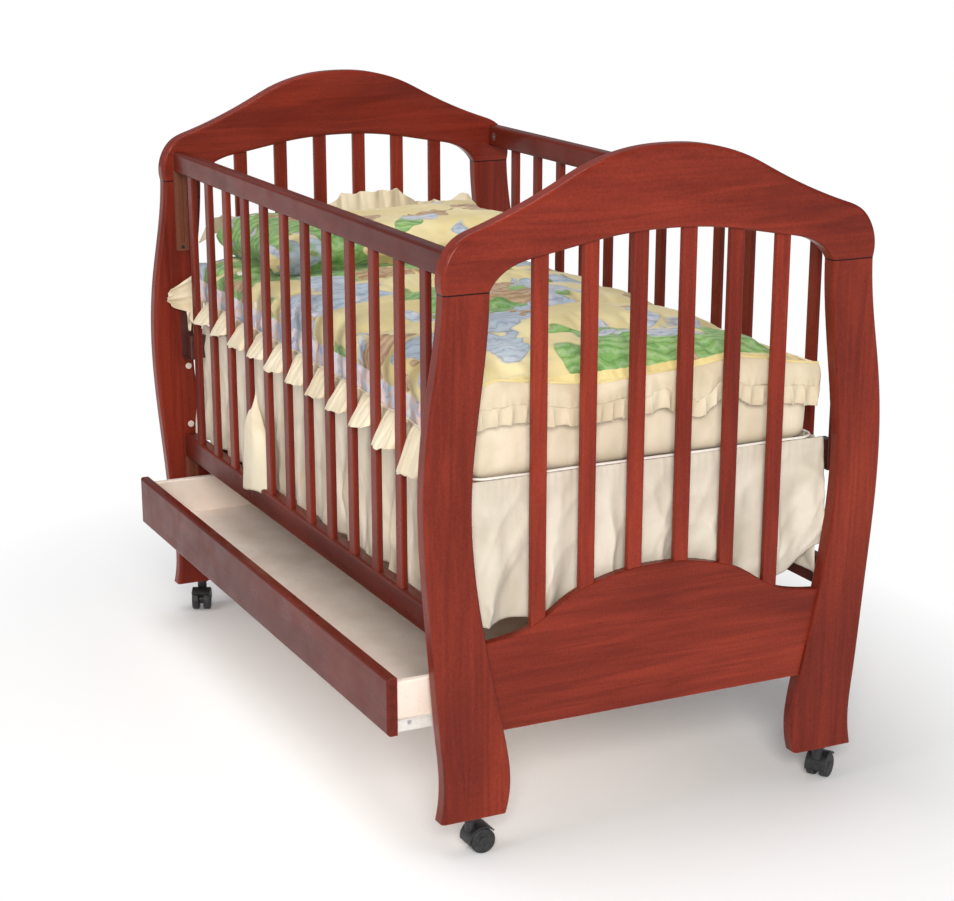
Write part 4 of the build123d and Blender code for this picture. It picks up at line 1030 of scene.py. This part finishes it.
def slept_on(place, normal):
    """A dent where the head lies, and loose cloth."""
    x, y, z = place
    dent = 0.006 * math.exp(-((x + 0.42) / 0.12) ** 2 - ((y - 0.02) / 0.2) ** 2) * smooth(z, 0.76, 0.79)
    out = place + normal * (0.0028 * rough(x * 13, y * 13, z * 13) + 0.0012 * rough(x * 40, y * 40, z * 9))
    out.z = max(out.z - dent, 0.7045)
    out.x = max(out.x, -0.6005)
    return out


reshaped(pillow, slept_on)

# Middle, height, half length and half width of the seam round the pillow
PILLOW_X = tenths((cad("pillow", LOW, X) + cad("pillow", HIGH, X)) / 2)
PILLOW_Z = 0.757
PILLOW_HALF = (tenths(cad("pillow", HIGH, X) - PILLOW_X - 0.002),
               tenths(cad("pillow", HIGH, Y) - MID - 0.004))
ring = rounded_ring(*PILLOW_HALF, 0.030, PILLOW_Z, FINE, PILLOW_X)
ring = [Vector((p.x, p.y - MID, p.z)) for p in ring]


def nearest(x, y):
    """Which point of the ring is nearest to a place."""
    return min(range(len(ring)), key=lambda i: abs(ring[i].x - x) + abs(ring[i].y - y))


# The ruffle runs from the far foot corner along the far side and the head end to the near head corner
start = nearest(-0.30, PILLOW_HALF[1])
ring = ring[start:] + ring[:start]
ring = ring[:nearest(-0.575, -PILLOW_HALF[1]) + 1]
RUFFLE_TALL = [(-0.25, 0.5), (-0.04, 0.55), (0.0, 1.0), (0.12, 1.05), (0.155, 0.55), (0.24, 0.5),
               (0.262, 0.8), (0.29, 0.4)]


def pillow_way(place):
    """How much a point of the ring belongs to the head, foot, near and far side."""
    head = smooth(-place.x, 0.575, 0.597)
    foot = smooth(place.x, -0.285, -0.264)
    near = smooth(-place.y, 0.262, 0.283)
    far = smooth(place.y, 0.262, 0.283)
    return head, foot, near, far


def pillow_fall(t, i):
    head, foot, near, far = pillow_way(ring[i])
    tall = through(RUFFLE_TALL, ring[i].y)
    way = (Vector((-0.012, 0, 0.056 * tall)) * head + Vector((0.040, 0, -0.016)) * foot
           + Vector((0, -0.028, -0.014)) * near * (1 - head) + Vector((0, 0.028, -0.014)) * far * (1 - head))
    return way * t


def pillow_out(i):
    head, foot, near, far = pillow_way(ring[i])
    way = Vector((-1, 0, 0.35)) * head + Vector((0.3, 0, 1)) * max(foot, near * (1 - head), far * (1 - head))
    return way.normalized() if way.length > 1e-6 else Vector((0, 0, 1))


frill("pillow_ruffle", ring, pillow_fall, 0.040, 0.0036, pillow_out, 0.045, 0.9, 15.0)


# Floor, light, camera

def white_floor():
    f = Finish("pale_floor")
    f.done(Base_Color=tone(250, 250, 250), Roughness=0.9, Specular_IOR_Level=0.1)
    away = f.node("ShaderNodeVectorMath", "Value", {0: f.mapped((0.72, 1.0, 1.0))}, operation="LENGTH")
    glow = f.node("ShaderNodeEmission", 0, {"Color": (1.0, 1.0, 1.0, 1.0), "Strength": 1.0})
    blended = f.node("ShaderNodeMixShader", 0, {
        0: f.span(away, 0.55, 1.05), 1: f.shader.outputs[0], 2: glow})
    f.links.new(blended, f.nodes["Material Output"].inputs["Surface"])
    mesh = bpy.data.meshes.new("studio_floor")
    size = 14.0
    corners = [(-size, -size, 0), (size, -size, 0), (size, size, 0), (-size, size, 0)]
    mesh.from_pydata(corners, [], [(0, 1, 2, 3)])
    mesh.materials.append(f.material)
    floor = bpy.data.objects.new("studio_floor", mesh)
    scene.collection.objects.link(floor)


def light(name, place, target, size, power, color):
    """A round area light that faces its target."""
    data = bpy.data.lights.new(name, "AREA")
    data.shape, data.size, data.energy, data.color = "DISK", size, power, color
    made = bpy.data.objects.new(name, data)
    scene.collection.objects.link(made)
    made.location = place
    made.rotation_mode = "QUATERNION"
    made.rotation_quaternion = (Vector(target) - Vector(place)).to_track_quat("-Z", "Y")


def studio():
    white_floor()
    light("key_light", (4.4, -1.9, 2.3), (0.2, 0.0, 0.55), 1.8, 178, (1.0, 0.97, 0.92))
    light("side_light", (0.4, -3.8, 2.6), (0.0, -0.2, 0.4), 2.4, 42, (0.97, 0.98, 1.0))
    light("top_light", (-0.2, -0.9, 3.8), (0.0, -0.3, 0.4), 2.2, 54, (1.0, 0.99, 0.97))
    world = bpy.data.worlds.new("studio_world")
    scene.world = world
    world.use_nodes = True
    nodes, links = world.node_tree.nodes, world.node_tree.links
    background = nodes["Background"]
    background.inputs["Color"].default_value = (0.93, 0.95, 1.0, 1.0)
    background.inputs["Strength"].default_value = 0.32
    seen = nodes.new("ShaderNodeBackground")
    seen.inputs["Color"].default_value = (1.0, 1.0, 1.0, 1.0)
    seen.inputs["Strength"].default_value = 1.0
    path = nodes.new("ShaderNodeLightPath")
    choose = nodes.new("ShaderNodeMixShader")
    links.new(path.outputs["Is Camera Ray"], choose.inputs[0])
    links.new(background.outputs[0], choose.inputs[1])
    links.new(seen.outputs[0], choose.inputs[2])
    links.new(choose.outputs[0], nodes["World Output"].inputs["Surface"])


# The photograph's camera, from a fit to the crib's corners. Pixels are the photograph's
PHOTO_WIDTH, PHOTO_MIDDLE_ROW = 954.0, 450.5
FOCAL_PIXELS, AXIS_ROW = 2141.0, 542.0
AZIMUTH, ELEVATION = math.radians(64.2), math.radians(17.6)
CAMERA_PLACE = (3.296, -1.5725, 1.432)


def camera():
    """Looks at the crib at the photograph's angle."""
    data = bpy.data.cameras.new("photo_camera")
    data.sensor_width = 36.0
    data.lens = FOCAL_PIXELS / PHOTO_WIDTH * data.sensor_width
    data.shift_y = (AXIS_ROW - PHOTO_MIDDLE_ROW) / PHOTO_WIDTH
    data.clip_start, data.clip_end = 0.05, 60.0
    made = bpy.data.objects.new("photo_camera", data)
    scene.collection.objects.link(made)
    back = Vector((math.sin(AZIMUTH) * math.cos(ELEVATION), -math.cos(AZIMUTH) * math.cos(ELEVATION),
                   math.sin(ELEVATION)))
    right = Vector((math.cos(AZIMUTH), math.sin(AZIMUTH), 0.0))
    up = back.cross(right)
    turn = Matrix((right, up, back)).transposed()
    made.rotation_mode = "QUATERNION"
    made.rotation_quaternion = turn.to_quaternion()
    made.location = CAMERA_PLACE
    scene.camera = made


studio()
camera()
scene.view_settings.view_transform = "Standard"
